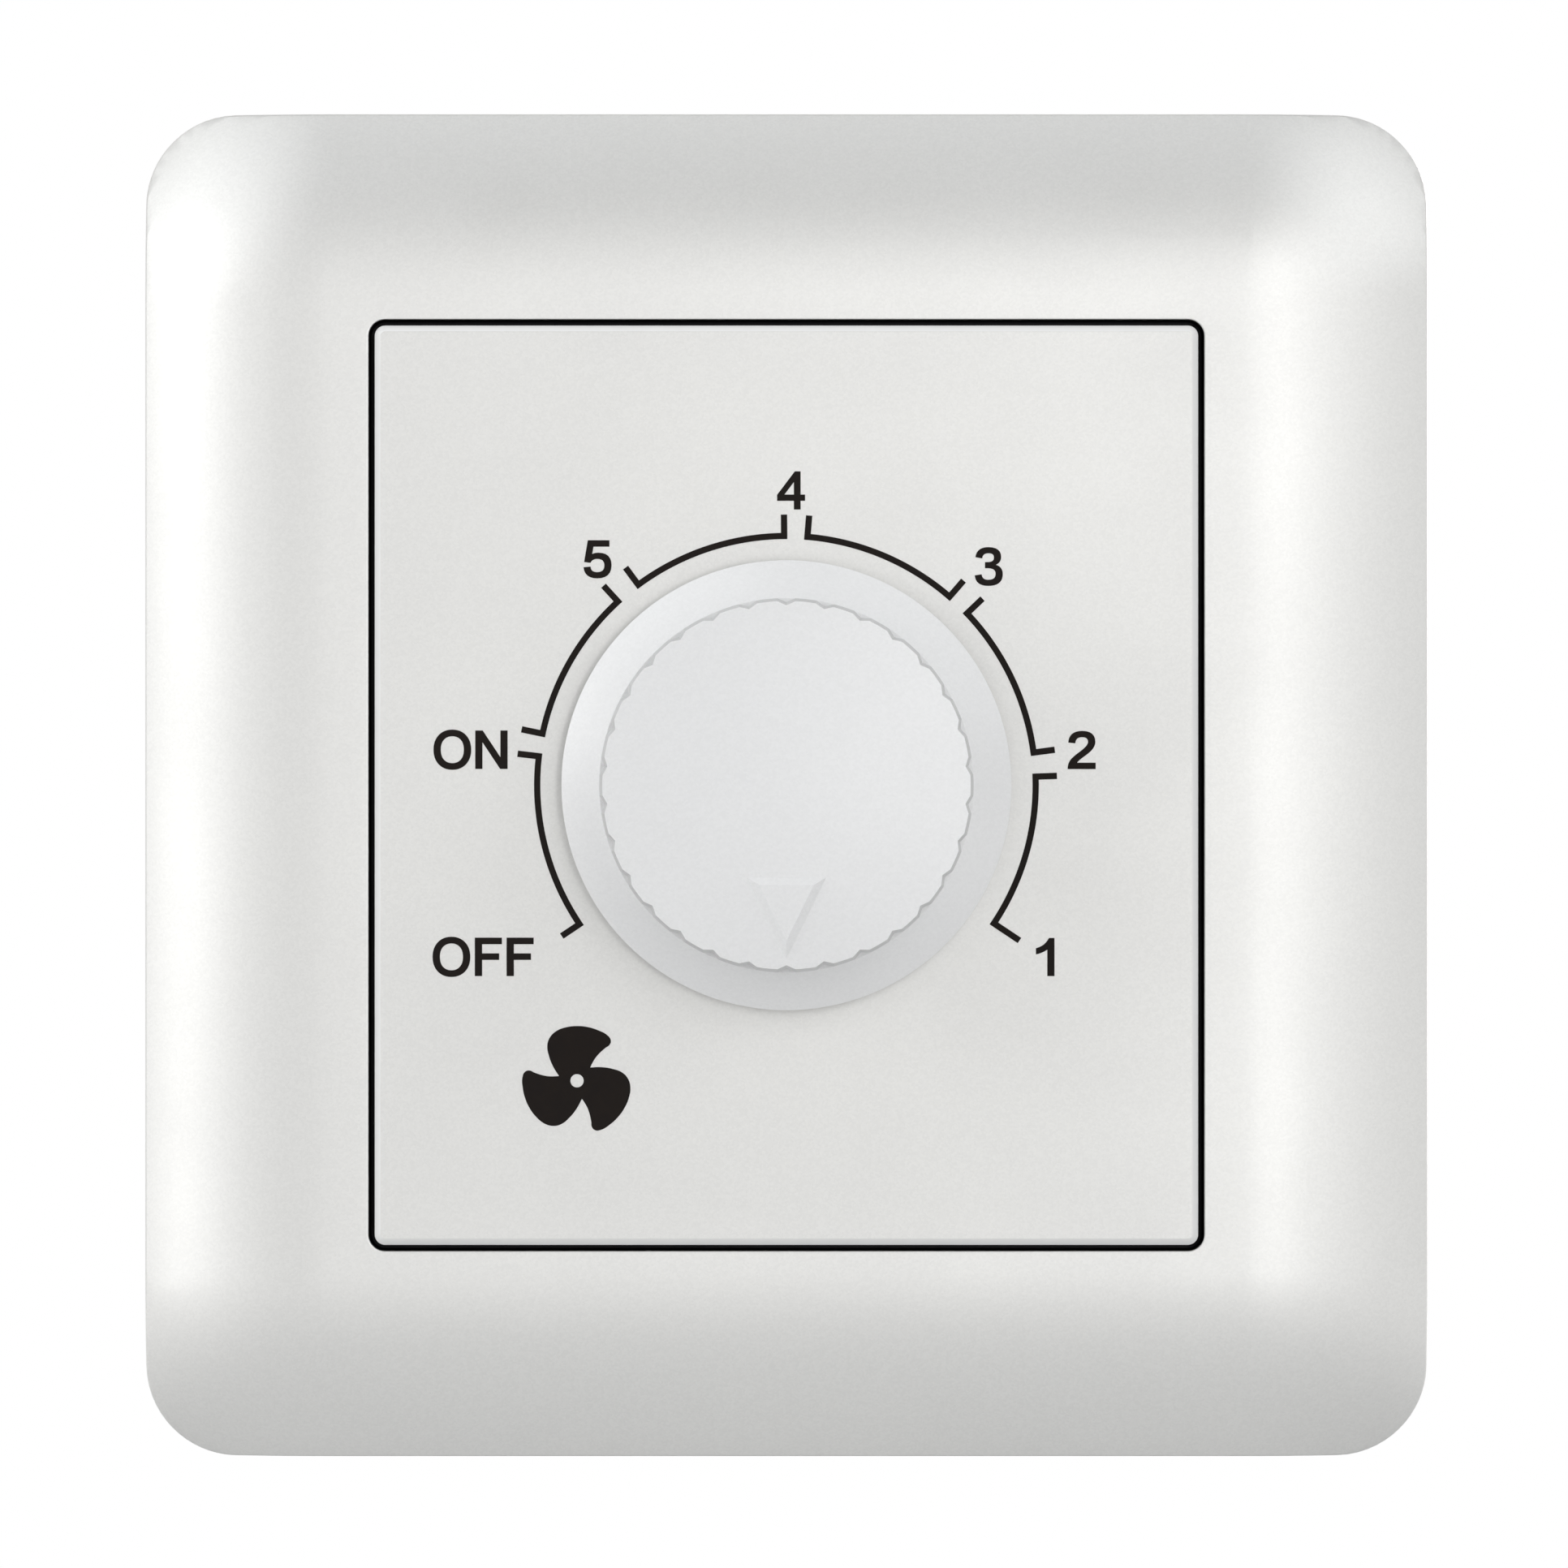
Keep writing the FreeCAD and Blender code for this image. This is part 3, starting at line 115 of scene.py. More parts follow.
def copy_as_skin(node):
    """A merged copy of a solid, with its flat parts joined to single faces."""
    select_only(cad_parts[node])
    bpy.ops.object.duplicate()
    bpy.ops.mesh.customdata_custom_splitnormals_clear()
    bpy.ops.object.mode_set(mode="EDIT")
    bpy.ops.mesh.select_all(action="SELECT")
    bpy.ops.mesh.remove_doubles(threshold=MERGE)
    bpy.ops.mesh.dissolve_degenerate(threshold=MERGE)
    bpy.ops.mesh.dissolve_limited(angle_limit=SKIN_FLAT)
    bpy.ops.mesh.normals_make_consistent(inside=False)
    bpy.ops.object.mode_set(mode="OBJECT")
    skin = bpy.context.object
    print("the skin of", node, "has", len(skin.data.polygons), "faces")
    return skin


frame_skin = copy_as_skin("outer_frame")


# %% Round its edges
def level_normals(piece):
    """Lets the large faces rule the shading at their edges."""
    levelling = piece.modifiers.new("levelling", "WEIGHTED_NORMAL")
    levelling.keep_sharp = True
    bpy.ops.object.modifier_apply(modifier="levelling")


rounding = frame_skin.modifiers.new("rounding", "BEVEL")
rounding.width = SKIN_ROUND
rounding.segments = SKIN_SEGMENTS
rounding.limit_method = "ANGLE"
rounding.angle_limit = SKIN_CREASE
bpy.ops.object.modifier_apply(modifier="rounding")
bpy.ops.object.shade_smooth_by_angle(angle=SKIN_CREASE)
level_normals(frame_skin)
hand_over(frame_skin, "frame_skin", "switch_body")
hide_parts("outer_frame")

# %% [markdown]
# ## The swelling front of the knob
# The front of the knob swells a little towards its middle, so it goes from light at the top to grey at
# the bottom. A copy of the solid is merged to one skin, and its front and the pointer on it are cut into
# small squares by bisecting. All of the front is then sunk, and its middle is pulled out again with
# proportional editing, whose inverse square falloff makes a shallow dome. A bump in the finish would
# shade it alike, but would not be there from the side. The copy then stands for the solid.

# %% Cut the front of the knob into squares
SWELL = 1.0 * MM
SQUARES = 20
FACES_AHEAD = -0.99
FRONT_MARGIN = 0.01 * MM
KNOB_CREASE = math.radians(20)
knob_skin = copy_as_skin("knob")
ahead = [face for face in knob_skin.data.polygons if face.normal.y < FACES_AHEAD]
knob_front = max(ahead, key=lambda face: face.area).center.y
knob_edge = max(math.hypot(corner.co.x, corner.co.z) for corner in knob_skin.data.vertices
                if abs(corner.co.y - knob_front) < MERGE)
front_limit = knob_front + FRONT_MARGIN


def select_front(piece):
    """Selects the faces of the knob's front and of its pointer."""
    bpy.ops.mesh.select_all(action="DESELECT")
    bpy.ops.object.mode_set(mode="OBJECT")
    for face in piece.data.polygons:
        face.select = all(piece.data.vertices[corner].co.y < front_limit for corner in face.vertices)
    bpy.ops.object.mode_set(mode="EDIT")


bpy.ops.object.mode_set(mode="EDIT")
bpy.ops.mesh.select_mode(type="FACE")
for across in ((1, 0, 0), (0, 0, 1)):
    for step in range(1 - SQUARES // 2, SQUARES // 2):
        select_front(knob_skin)
        cut = Vector(across) * step * 2 * knob_edge / SQUARES
        bpy.ops.mesh.bisect(plane_co=cut, plane_no=across)
print("the knob's front reaches", round(knob_edge / MM, 2), "mm from its axis")

# %% Let the front swell
select_front(knob_skin)
bpy.ops.transform.translate(value=(0, SWELL, 0))
bpy.ops.mesh.hide(unselected=True)
bpy.ops.mesh.select_mode(type="VERT")
bpy.ops.mesh.select_all(action="DESELECT")
bpy.ops.object.mode_set(mode="OBJECT")
shown = [corner for corner in knob_skin.data.vertices if not corner.hide]
middle = min(shown, key=lambda corner: math.hypot(corner.co.x, corner.co.z))
middle.select = True
bpy.ops.object.mode_set(mode="EDIT")
bpy.ops.transform.translate(value=(0, -SWELL, 0), use_proportional_edit=True,
                            proportional_edit_falloff="INVERSE_SQUARE", proportional_size=knob_edge)
bpy.ops.mesh.reveal(select=False)
bpy.ops.object.mode_set(mode="OBJECT")
bpy.ops.object.shade_smooth_by_angle(angle=KNOB_CREASE)
level_normals(knob_skin)
hand_over(knob_skin, "knob_skin", "knob_set")
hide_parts("knob")

# %% [markdown]
# ## The scale of the dial
# The scale is six brackets round the knob: an arc with a short tick outward at each end. A curve
# with a bevel would do, but its corners would be round. So the cross-section of the line is a small
# plane that is spun round the knob's axis, and the outer faces of its first and last step are
# extruded into the ticks, which keeps each bracket one closed solid.

# %% Sizes of the scale
SCALE_RADIUS = 16.64 * MM
LINE_WIDTH = 0.42 * MM
TICK = 1.22 * MM
LAST_TICK = 1.85 * MM
DEGREES_PER_STEP = 1.5
FACES_OUT = 0.9
# Start and end of each bracket in degrees, clockwise from the top
BRACKETS = [(-124.6, -82.6), (-78.8, -41.8), (-37.2, 0.2), (4.1, 41.6), (45.7, 83.2), (87.3, 124.4)]
line_angle = math.degrees(LINE_WIDTH / SCALE_RADIUS)
print("the line is", round(line_angle, 2), "degrees wide at the scale's radius")


# %% Make one bracket
def point_on_dial(angle, radius):
    """A point at an angle in degrees, clockwise from the top as the dial is seen."""
    turn = math.radians(angle)
    return Vector((radius * math.sin(turn), 0, radius * math.cos(turn)))


def spin(degrees, steps):
    """Spins what is selected clockwise round the knob's axis, as the dial is seen."""
    bpy.ops.mesh.spin(steps=steps, angle=math.radians(degrees), center=(0, 0, 0), axis=(0, -1, 0))


def extrude_tick(piece, angle, length):
    """Extrudes the outer face of one step of the arc outward into a tick."""
    bpy.ops.mesh.select_all(action="DESELECT")
    bpy.ops.object.mode_set(mode="OBJECT")
    out = point_on_dial(angle, 1)
    target = out * (SCALE_RADIUS + LINE_WIDTH / 2)
    faces = [face for face in piece.data.polygons if face.normal.dot(out) > FACES_OUT]
    nearest = min(faces, key=lambda face: (Vector((face.center.x, 0, face.center.z)) - target).length)
    nearest.select = True
    bpy.ops.object.mode_set(mode="EDIT")
    bpy.ops.mesh.extrude_region_move(TRANSFORM_OT_translate={"value": out * length})


def make_bracket(start, end, first_tick, last_tick):
    bpy.ops.object.select_all(action="DESELECT")
    bpy.ops.mesh.primitive_plane_add(size=1, rotation=(0, math.radians(90), 0))
    piece = bpy.context.object
    settle(piece)
    bpy.ops.object.mode_set(mode="EDIT")
    bpy.ops.mesh.select_mode(type="FACE")
    bpy.ops.mesh.select_all(action="SELECT")
    bpy.ops.transform.resize(value=(1, INK_THICKNESS, LINE_WIDTH))
    bpy.ops.transform.translate(value=(0, ink_middle, SCALE_RADIUS))
    span = end - start
    spin(line_angle, 1)
    spin(span - 2 * line_angle, round(span / DEGREES_PER_STEP))
    spin(line_angle, 1)
    bpy.ops.mesh.select_all(action="SELECT")
    bpy.ops.mesh.normals_make_consistent(inside=False)
    extrude_tick(piece, line_angle / 2, first_tick)
    extrude_tick(piece, span - line_angle / 2, last_tick)
    bpy.ops.object.mode_set(mode="OBJECT")
    piece.rotation_euler = (0, math.radians(start), 0)
    settle(piece)
    return piece


# %% Join the brackets to one scale
brackets = []
for start, end in BRACKETS:
    last = LAST_TICK if end == BRACKETS[-1][1] else TICK
    brackets.append(make_bracket(start, end, TICK, last))
select_only(*brackets)
bpy.ops.object.join()
dial_scale = bpy.context.object
hand_over(dial_scale, "dial_scale", "switch_body")

# %% [markdown]
# ## The numbers and words of the dial
# The dial says off, on and five speeds in a plain upright letter. Each sign is drawn here as closed
# outlines, in hundredths of a millimetre from the foot of its left side: M sets the start, H, V and L
# draw straight sides, Q draws a bend towards a point, and Z closes. A text object would be quicker,
# but its letters would not have the flag of the 1 or the even stroke of the print.

# %% The signs
SIGNS = {
    "O": "M0 126 Q0 186 34 222 Q68 258 124 258 Q179 258 213 222 Q247 186 247 126 Q247 66 213 30 Q179 -6 124 -6 "
         "Q68 -6 34 30 Q0 66 0 126 Z M44 126 Q44 82 66 58 Q88 34 124 34 Q159 34 181 58 Q203 82 203 126 "
         "Q203 170 181 194 Q159 218 124 218 Q88 218 66 194 Q44 170 44 126 Z",
    "N": "M0 0 H43 V184 L165 0 H211 V252 H168 V68 L46 252 H0 Z",
    "F": "M0 0 H44 V108 H158 V147 H44 V213 H176 V252 H0 Z",
    "1": "M76 0 H119 V250 H86 Q60 198 0 182 V145 Q45 155 76 180 Z",
    "2": "M0 0 H182 V38 H56 Q64 54 112 88 Q180 134 180 179 Q180 250 95 250 Q10 250 4 177 L46 172 Q50 213 94 213 "
         "Q136 213 136 178 Q136 152 72 106 Q28 74 14 52 Q0 30 0 0 Z",
    "3": "M0 62 Q6 -4 88 -4 Q182 -4 182 73 Q182 122 131 134 Q171 148 171 187 Q171 250 88 250 Q14 250 4 187 "
         "L45 180 Q50 214 88 214 Q128 214 128 183 Q128 150 83 150 H68 V114 H85 Q139 114 139 74 Q139 32 87 32 "
         "Q46 32 41 68 Z",
    "4": "M112 0 H152 V58 H182 V95 H152 V250 H117 L0 95 V58 H112 Z M112 95 H42 L112 188 Z",
    "5": "M0 66 Q8 -4 88 -4 Q182 -4 182 82 Q182 163 96 163 Q72 163 52 152 L62 208 H168 V246 H28 L4 105 L42 100 "
         "Q56 126 89 126 Q139 126 139 80 Q139 33 88 33 Q46 33 42 70 Z",
}
# Each label: its signs with the left side of each, and its left end and foot from the knob's axis
LABELS = {
    "on": ([("O", 0), ("N", 279)], -2354, 111),
    "off": ([("O", 0), ("F", 282), ("F", 494)], -2360, -1272),
    "5": ([("5", 0)], -1352, 1387),
    "4": ([("4", 0)], -60, 1843),
    "3": ([("3", 0)], 1260, 1337),
    "2": ([("2", 0)], 1880, 110),
    "1": ([("1", 0)], 1668, -1272),
}
HUNDREDTH = 0.01 * MM
print(len(SIGNS), "signs make", len(LABELS), "labels")


# %% Read an outline
def split_side(side):
    """Two sides that together run as the one given."""
    start, bend, end = side
    first, second = (start + bend) / 2, (bend + end) / 2
    middle = (first + second) / 2
    return [(start, first, middle), (middle, second, end)]


def read_outline(letters):
    """The sides of one closed outline, each with its start, bend and end."""
    sides = []
    for letter, numbers in re.findall(r"([MHVLQ])([^MHVLQ]*)", letters):
        values = [float(number) for number in numbers.split()]
        if letter == "M":
            first = here = Vector(values)
            continue
        end = Vector(values[-2:]) if letter in "LQ" else Vector((values[0], here.y))
        if letter == "V":
            end = Vector((here.x, values[0]))
        bend = Vector(values[:2]) if letter == "Q" else (here + end) / 2
        sides.append((here, bend, end))
        here = end
    if here != first:
        sides.append((here, (here + first) / 2, first))
    return sides


# %% [markdown]
# ## From an outline to ink
# Every outline starts as a curve's circle of four points, which is subdivided to as many points as the
# outline has sides. So the number of sides is first brought to a multiple of four by halving the longest
# ones. The curve is filled, given a little depth and made a mesh, and the rims of its faces are merged, so
# that the ink is a closed solid.

# %% Draw outlines and make them ink
CIRCLE_POINTS = 4
CURVE_STEPS = 6


def draw_outlines(outlines):
    """One flat curve object with a closed spline for each outline."""
    bpy.ops.object.select_all(action="DESELECT")
    for number, sides in enumerate(outlines):
        while len(sides) % CIRCLE_POINTS:
            longest = max(range(len(sides)), key=lambda i: (sides[i][2] - sides[i][0]).length)
            sides[longest:longest + 1] = split_side(sides[longest])
        if number:
            bpy.ops.curve.select_all(action="DESELECT")
        bpy.ops.curve.primitive_bezier_circle_add(radius=1)
        piece = bpy.context.object
        bpy.ops.object.mode_set(mode="EDIT")
        if len(sides) > CIRCLE_POINTS:
            bpy.ops.curve.subdivide(number_cuts=len(sides) // CIRCLE_POINTS - 1)
    bpy.ops.object.mode_set(mode="OBJECT")
    for spline, sides in zip(piece.data.splines, outlines):
        for index, (start, bend, end) in enumerate(sides):
            point = spline.bezier_points[index]
            last_bend = sides[index - 1][1]
            point.handle_left_type = "FREE"
            point.handle_right_type = "FREE"
            point.co = (*start, 0)
            point.handle_left = (*(start + 2 * (last_bend - start) / 3), 0)
            point.handle_right = (*(start + 2 * (bend - start) / 3), 0)
    return piece


def make_ink(piece, unit, across, up):
    """Fills a flat curve, makes it a closed solid and sets it on the panel."""
    piece.data.dimensions = "2D"
    piece.data.fill_mode = "BOTH"
    piece.data.resolution_u = CURVE_STEPS
    piece.data.offset = INK_SPREAD / unit
    piece.data.extrude = INK_THICKNESS / unit / 2
    select_only(piece)
    bpy.ops.object.convert(target="MESH")
    piece = bpy.context.object
    piece.scale = (unit, unit, unit)
    piece.rotation_euler = (math.radians(90), 0, 0)
    piece.location = (across * unit, ink_middle, up * unit)
    settle(piece)
    bpy.ops.object.mode_set(mode="EDIT")
    bpy.ops.mesh.select_all(action="SELECT")
    bpy.ops.mesh.remove_doubles(threshold=MERGE)
    bpy.ops.mesh.normals_make_consistent(inside=False)
    bpy.ops.mesh.select_all(action="DESELECT")
    bpy.ops.mesh.select_mode(type="EDGE")
    bpy.ops.mesh.select_non_manifold()
    bpy.ops.object.mode_set(mode="OBJECT")
    print("open edges:", sum(edge.select for edge in piece.data.edges))
    return piece


# %% Print the labels
labels = []
for name, (signs, across, up) in LABELS.items():
    outlines = []
    for sign, left in signs:
        for letters in SIGNS[sign].split("Z")[:-1]:
            shift = Vector((left, 0))
            outlines.append([tuple(point + shift for point in side) for side in read_outline(letters)])
    label = make_ink(draw_outlines(outlines), HUNDREDTH, across, up)
    hand_over(label, "dial_label_" + name, "switch_body")
    labels.append(label)

# %% [markdown]
# ## The fan sign
# Below the scale is a small sign of a three-bladed fan with a hole at its hub. One blade is drawn
# as points round its edge and turned twice by a third of a turn. The points go to a circle that is
# subdivided to as many points, so the edge stays smooth, and a second circle cuts the hub.

# %% Draw the fan
FAN_MIDDLE = (-13.98, -19.73)
HUB_RADIUS = 0.47
BLADES = 3
BLADE = [(0.84, 0.86), (1.06, 1.30), (1.33, 1.69), (1.88, 2.21), (2.16, 2.42), (2.23, 2.70), (2.02, 3.01),
         (1.40, 3.35), (0.71, 3.56), (0.08, 3.63), (-0.75, 3.54), (-1.44, 3.25), (-1.82, 2.83), (-1.96, 2.35),
         (-1.85, 1.66), (-1.58, 0.97)]
bpy.ops.object.select_all(action="DESELECT")
bpy.ops.curve.primitive_bezier_circle_add(radius=1)
fan_sign = bpy.context.object
bpy.ops.object.mode_set(mode="EDIT")
bpy.ops.curve.select_all(action="SELECT")
bpy.ops.curve.subdivide(number_cuts=BLADES * len(BLADE) // CIRCLE_POINTS - 1)
bpy.ops.object.mode_set(mode="OBJECT")
edge = fan_sign.data.splines[0].bezier_points
for index, point in enumerate(edge):
    turn = 2 * math.pi / BLADES * (index // len(BLADE))
    x, y = BLADE[index % len(BLADE)]
    point.co = (x * math.cos(turn) - y * math.sin(turn), x * math.sin(turn) + y * math.cos(turn), 0)
    kind = "VECTOR" if index % len(BLADE) == 0 else "AUTO"
    point.handle_left_type = kind
    point.handle_right_type = kind
print("the fan's edge has", len(edge), "points")

# %% Cut the hub and make it a solid
bpy.ops.object.mode_set(mode="EDIT")
bpy.ops.curve.select_all(action="DESELECT")
bpy.ops.curve.primitive_bezier_circle_add(radius=HUB_RADIUS)
bpy.ops.object.mode_set(mode="OBJECT")
fan_sign = make_ink(fan_sign, MM, *FAN_MIDDLE)
hand_over(fan_sign, "fan_sign", "switch_body")

# %% [markdown]
# ## Shared effects
# Some effects are used again and again, so each is a node group. Mottling lets a colour drift a
# little over the surface. Flake scatters tiny lighter and darker specks, as in silver paint. Tooth is
# the fine texture that a mould or a spray gun leaves, as a height for a bump. Walls marks the faces that
# stand away from the front, and opening marks the inside of the frame's opening. The finishes use them
# to colour in painted shade there, and a painted highlight on the panel's edge. Both could be painted
# face by face, but a mask follows the shape when it changes.


# %% Node helpers
def add_node(tree, kind, **values):
    """A node with its plain settings or its sockets' values set by name."""
    item = tree.nodes.new(kind)
    for name, value in values.items():
        if name in item.inputs:
            item.inputs[name].default_value = value
        else:
            setattr(item, name, value)
    return item


def range_node(tree, low, high, start=0.0, end=1.0, smooth=True):
    """A node whose result goes from start to end while its value goes from low to high."""
    item = add_node(tree, "ShaderNodeMapRange", interpolation_type="SMOOTHSTEP" if smooth else "LINEAR")
    for socket, value in (("From Min", low), ("From Max", high), ("To Min", start), ("To Max", end)):
        item.inputs[socket].default_value = value
    return item


def new_group(name, inputs, outputs):
    """An empty group with named sockets: its tree, its input node and its output node."""
    tree = bpy.data.node_groups.new(name, "ShaderNodeTree")
    for socket, (kind, value) in inputs.items():
        made = tree.interface.new_socket(socket, in_out="INPUT", socket_type="NodeSocket" + kind)
        made.default_value = value
    for socket, kind in outputs.items():
        tree.interface.new_socket(socket, in_out="OUTPUT", socket_type="NodeSocket" + kind)
    return tree, tree.nodes.new("NodeGroupInput"), tree.nodes.new("NodeGroupOutput")


# %% Mottling
PATCH_FROM, PATCH_FULL = 0.35, 0.65
mottle, given, result = new_group("mottling", {"Colour": ("Color", (0.8, 0.8, 0.8, 1)),
                                               "Shade": ("Color", (0.6, 0.6, 0.6, 1)),
                                               "Scale": ("Float", 60.0)}, {"Colour": "Color", "Mask": "Float"})
place = add_node(mottle, "ShaderNodeTexCoord")
cloud = add_node(mottle, "ShaderNodeTexNoise", Detail=4.0, Roughness=0.55)
spread = range_node(mottle, PATCH_FROM, PATCH_FULL, smooth=False)
blend = add_node(mottle, "ShaderNodeMix", data_type="RGBA")
mottle.links.new(place.outputs["Object"], cloud.inputs["Vector"])
mottle.links.new(given.outputs["Scale"], cloud.inputs["Scale"])
mottle.links.new(cloud.outputs["Fac"], spread.inputs["Value"])
mottle.links.new(spread.outputs["Result"], blend.inputs["Factor"])
mottle.links.new(given.outputs["Colour"], blend.inputs["A"])
mottle.links.new(given.outputs["Shade"], blend.inputs["B"])
mottle.links.new(blend.outputs["Result"], result.inputs["Colour"])
mottle.links.new(spread.outputs["Result"], result.inputs["Mask"])
print("made the group", mottle.name)

# %% Flake
flake, given, result = new_group("flake", {"Colour": ("Color", (0.8, 0.8, 0.8, 1)), "Scale": ("Float", 7000.0),
                                           "Strength": ("Float", 0.05)}, {"Colour": "Color"})
place = add_node(flake, "ShaderNodeTexCoord")
cells = add_node(flake, "ShaderNodeTexVoronoi", feature="F1")
speck = add_node(flake, "ShaderNodeSeparateColor")
centred = add_node(flake, "ShaderNodeMath", operation="SUBTRACT")
centred.inputs[1].default_value = 0.5
weighted = add_node(flake, "ShaderNodeMath", operation="MULTIPLY_ADD")
weighted.inputs[2].default_value = 1.0
lit = add_node(flake, "ShaderNodeVectorMath", operation="SCALE")
flake.links.new(place.outputs["Object"], cells.inputs["Vector"])
flake.links.new(given.outputs["Scale"], cells.inputs["Scale"])
flake.links.new(cells.outputs["Color"], speck.inputs["Color"])
flake.links.new(speck.outputs["Red"], centred.inputs[0])
flake.links.new(centred.outputs["Value"], weighted.inputs[0])
flake.links.new(given.outputs["Strength"], weighted.inputs[1])
flake.links.new(given.outputs["Colour"], lit.inputs[0])
flake.links.new(weighted.outputs["Value"], lit.inputs["Scale"])
flake.links.new(lit.outputs["Vector"], result.inputs["Colour"])
print("made the group", flake.name)

# %% Tooth
tooth, given, result = new_group("tooth", {"Scale": ("Float", 2500.0), "Stretch": ("Vector", (1, 1, 1))},
                                 {"Height": "Float"})
place = add_node(tooth, "ShaderNodeTexCoord")
longer = add_node(tooth, "ShaderNodeVectorMath", operation="MULTIPLY")
grain = add_node(tooth, "ShaderNodeTexNoise", Detail=3.0, Roughness=0.6)
tooth.links.new(place.outputs["Object"], longer.inputs[0])
tooth.links.new(given.outputs["Stretch"], longer.inputs[1])
tooth.links.new(longer.outputs["Vector"], grain.inputs["Vector"])
tooth.links.new(given.outputs["Scale"], grain.inputs["Scale"])
tooth.links.new(grain.outputs["Fac"], result.inputs["Height"])
print("made the group", tooth.name)

# %% Walls
walls, given, result = new_group("walls", {"Start": ("Float", 0.5), "Full": ("Float", 0.2)}, {"Mask": "Float"})
place = add_node(walls, "ShaderNodeTexCoord")
facing = add_node(walls, "ShaderNodeSeparateXYZ")
steep = add_node(walls, "ShaderNodeMath", operation="ABSOLUTE")
chosen = add_node(walls, "ShaderNodeMapRange")
walls.links.new(given.outputs["Start"], chosen.inputs["From Min"])
walls.links.new(given.outputs["Full"], chosen.inputs["From Max"])
walls.links.new(place.outputs["Normal"], facing.inputs["Vector"])
walls.links.new(facing.outputs["Y"], steep.inputs[0])
walls.links.new(steep.outputs["Value"], chosen.inputs["Value"])
walls.links.new(chosen.outputs["Result"], result.inputs["Mask"])
print("made the group", walls.name)

# %% Opening
opening, given, result = new_group("opening", {"Half": ("Vector", (0, 0, 0)), "Level": ("Float", 0.0)},
                                   {"Mask": "Float"})
place = add_node(opening, "ShaderNodeTexCoord")
either = add_node(opening, "ShaderNodeVectorMath", operation="ABSOLUTE")
beyond = add_node(opening, "ShaderNodeVectorMath", operation="SUBTRACT")
parts = add_node(opening, "ShaderNodeSeparateXYZ")
across = add_node(opening, "ShaderNodeMath", operation="MAXIMUM")
deep = add_node(opening, "ShaderNodeSeparateXYZ")
before = add_node(opening, "ShaderNodeMath", operation="SUBTRACT")
furthest = add_node(opening, "ShaderNodeMath", operation="MAXIMUM")
inside = add_node(opening, "ShaderNodeMath", operation="LESS_THAN")
inside.inputs[1].default_value = 0.0
opening.links.new(place.outputs["Object"], either.inputs[0])
opening.links.new(either.outputs["Vector"], beyond.inputs[0])
opening.links.new(given.outputs["Half"], beyond.inputs[1])
opening.links.new(beyond.outputs["Vector"], parts.inputs["Vector"])
opening.links.new(parts.outputs["X"], across.inputs[0])
opening.links.new(parts.outputs["Z"], across.inputs[1])
opening.links.new(place.outputs["Object"], deep.inputs["Vector"])
opening.links.new(given.outputs["Level"], before.inputs[0])
opening.links.new(deep.outputs["Y"], before.inputs[1])
opening.links.new(across.outputs["Value"], furthest.inputs[0])
opening.links.new(before.outputs["Value"], furthest.inputs[1])
opening.links.new(furthest.outputs["Value"], inside.inputs[0])
opening.links.new(inside.outputs["Value"], result.inputs["Mask"])
print("made the group", opening.name)

# %% [markdown]
# ## Finishes
# Each finish is one material: a Principled shader whose colour comes from the mottling, and from the
# flake where it is silver paint. Areas lay another colour over it where a mask says so. Its roughness
# drifts with the mottling, and its normal comes from the tooth. A soft bevel is read by the normal as
# well, because a moulded edge is never quite sharp. One function makes them all, so they stay alike.


# %% Make a finish
BEVEL_SAMPLES = 6


def place_group(tree, group, **values):
    item = tree.nodes.new("ShaderNodeGroup")
    item.node_tree = group
    for name, value in values.items():
        item.inputs[name].default_value = value
    return item


def make_finish(name, colour, shade, patch=60.0, rough=(0.4, 0.5), metallic=0.0, specular=0.5, grain=2500.0,
                stretch=(1, 1, 1), bump=0.02, depth=0.02, edge=0.1, sparkle=0.0, areas=()):
    """A material: colour and shade are linear, sizes of the texture are per metre, depth and edge are mm."""
    material = bpy.data.materials.new(name)
    material.use_nodes = True
    tree = material.node_tree
    shader = tree.nodes["Principled BSDF"]
    shader.inputs["Metallic"].default_value = metallic
    shader.inputs["Specular IOR Level"].default_value = specular
    drift = place_group(tree, mottle, Colour=(*colour, 1), Shade=(*shade, 1), Scale=patch)
    painted = drift.outputs["Colour"]
    if sparkle:
        specks = place_group(tree, flake, Strength=sparkle)
        tree.links.new(painted, specks.inputs["Colour"])
        painted = specks.outputs["Colour"]
    for group, values, other, other_metallic in areas:
        mask = place_group(tree, group, **values).outputs["Mask"]
        recoloured = add_node(tree, "ShaderNodeMix", data_type="RGBA")
        recoloured.inputs["B"].default_value = (*other, 1)
        tree.links.new(mask, recoloured.inputs["Factor"])
        tree.links.new(painted, recoloured.inputs["A"])
        painted = recoloured.outputs["Result"]
        if other_metallic != metallic:
            metal = range_node(tree, 0.0, 1.0, metallic, other_metallic, smooth=False)
            tree.links.new(mask, metal.inputs["Value"])
            tree.links.new(metal.outputs["Result"], shader.inputs["Metallic"])
    tree.links.new(painted, shader.inputs["Base Color"])
    gloss = range_node(tree, 0.0, 1.0, *rough, smooth=False)
    tree.links.new(drift.outputs["Mask"], gloss.inputs["Value"])
    tree.links.new(gloss.outputs["Result"], shader.inputs["Roughness"])
    texture = place_group(tree, tooth, Scale=grain, Stretch=stretch)
    relief = add_node(tree, "ShaderNodeBump", Strength=bump, Distance=depth * MM)
    tree.links.new(texture.outputs["Height"], relief.inputs["Height"])
    if edge:
        softened = add_node(tree, "ShaderNodeBevel", samples=BEVEL_SAMPLES, Radius=edge * MM)
        tree.links.new(softened.outputs["Normal"], relief.inputs["Normal"])
    tree.links.new(relief.outputs["Normal"], shader.inputs["Normal"])
    return material


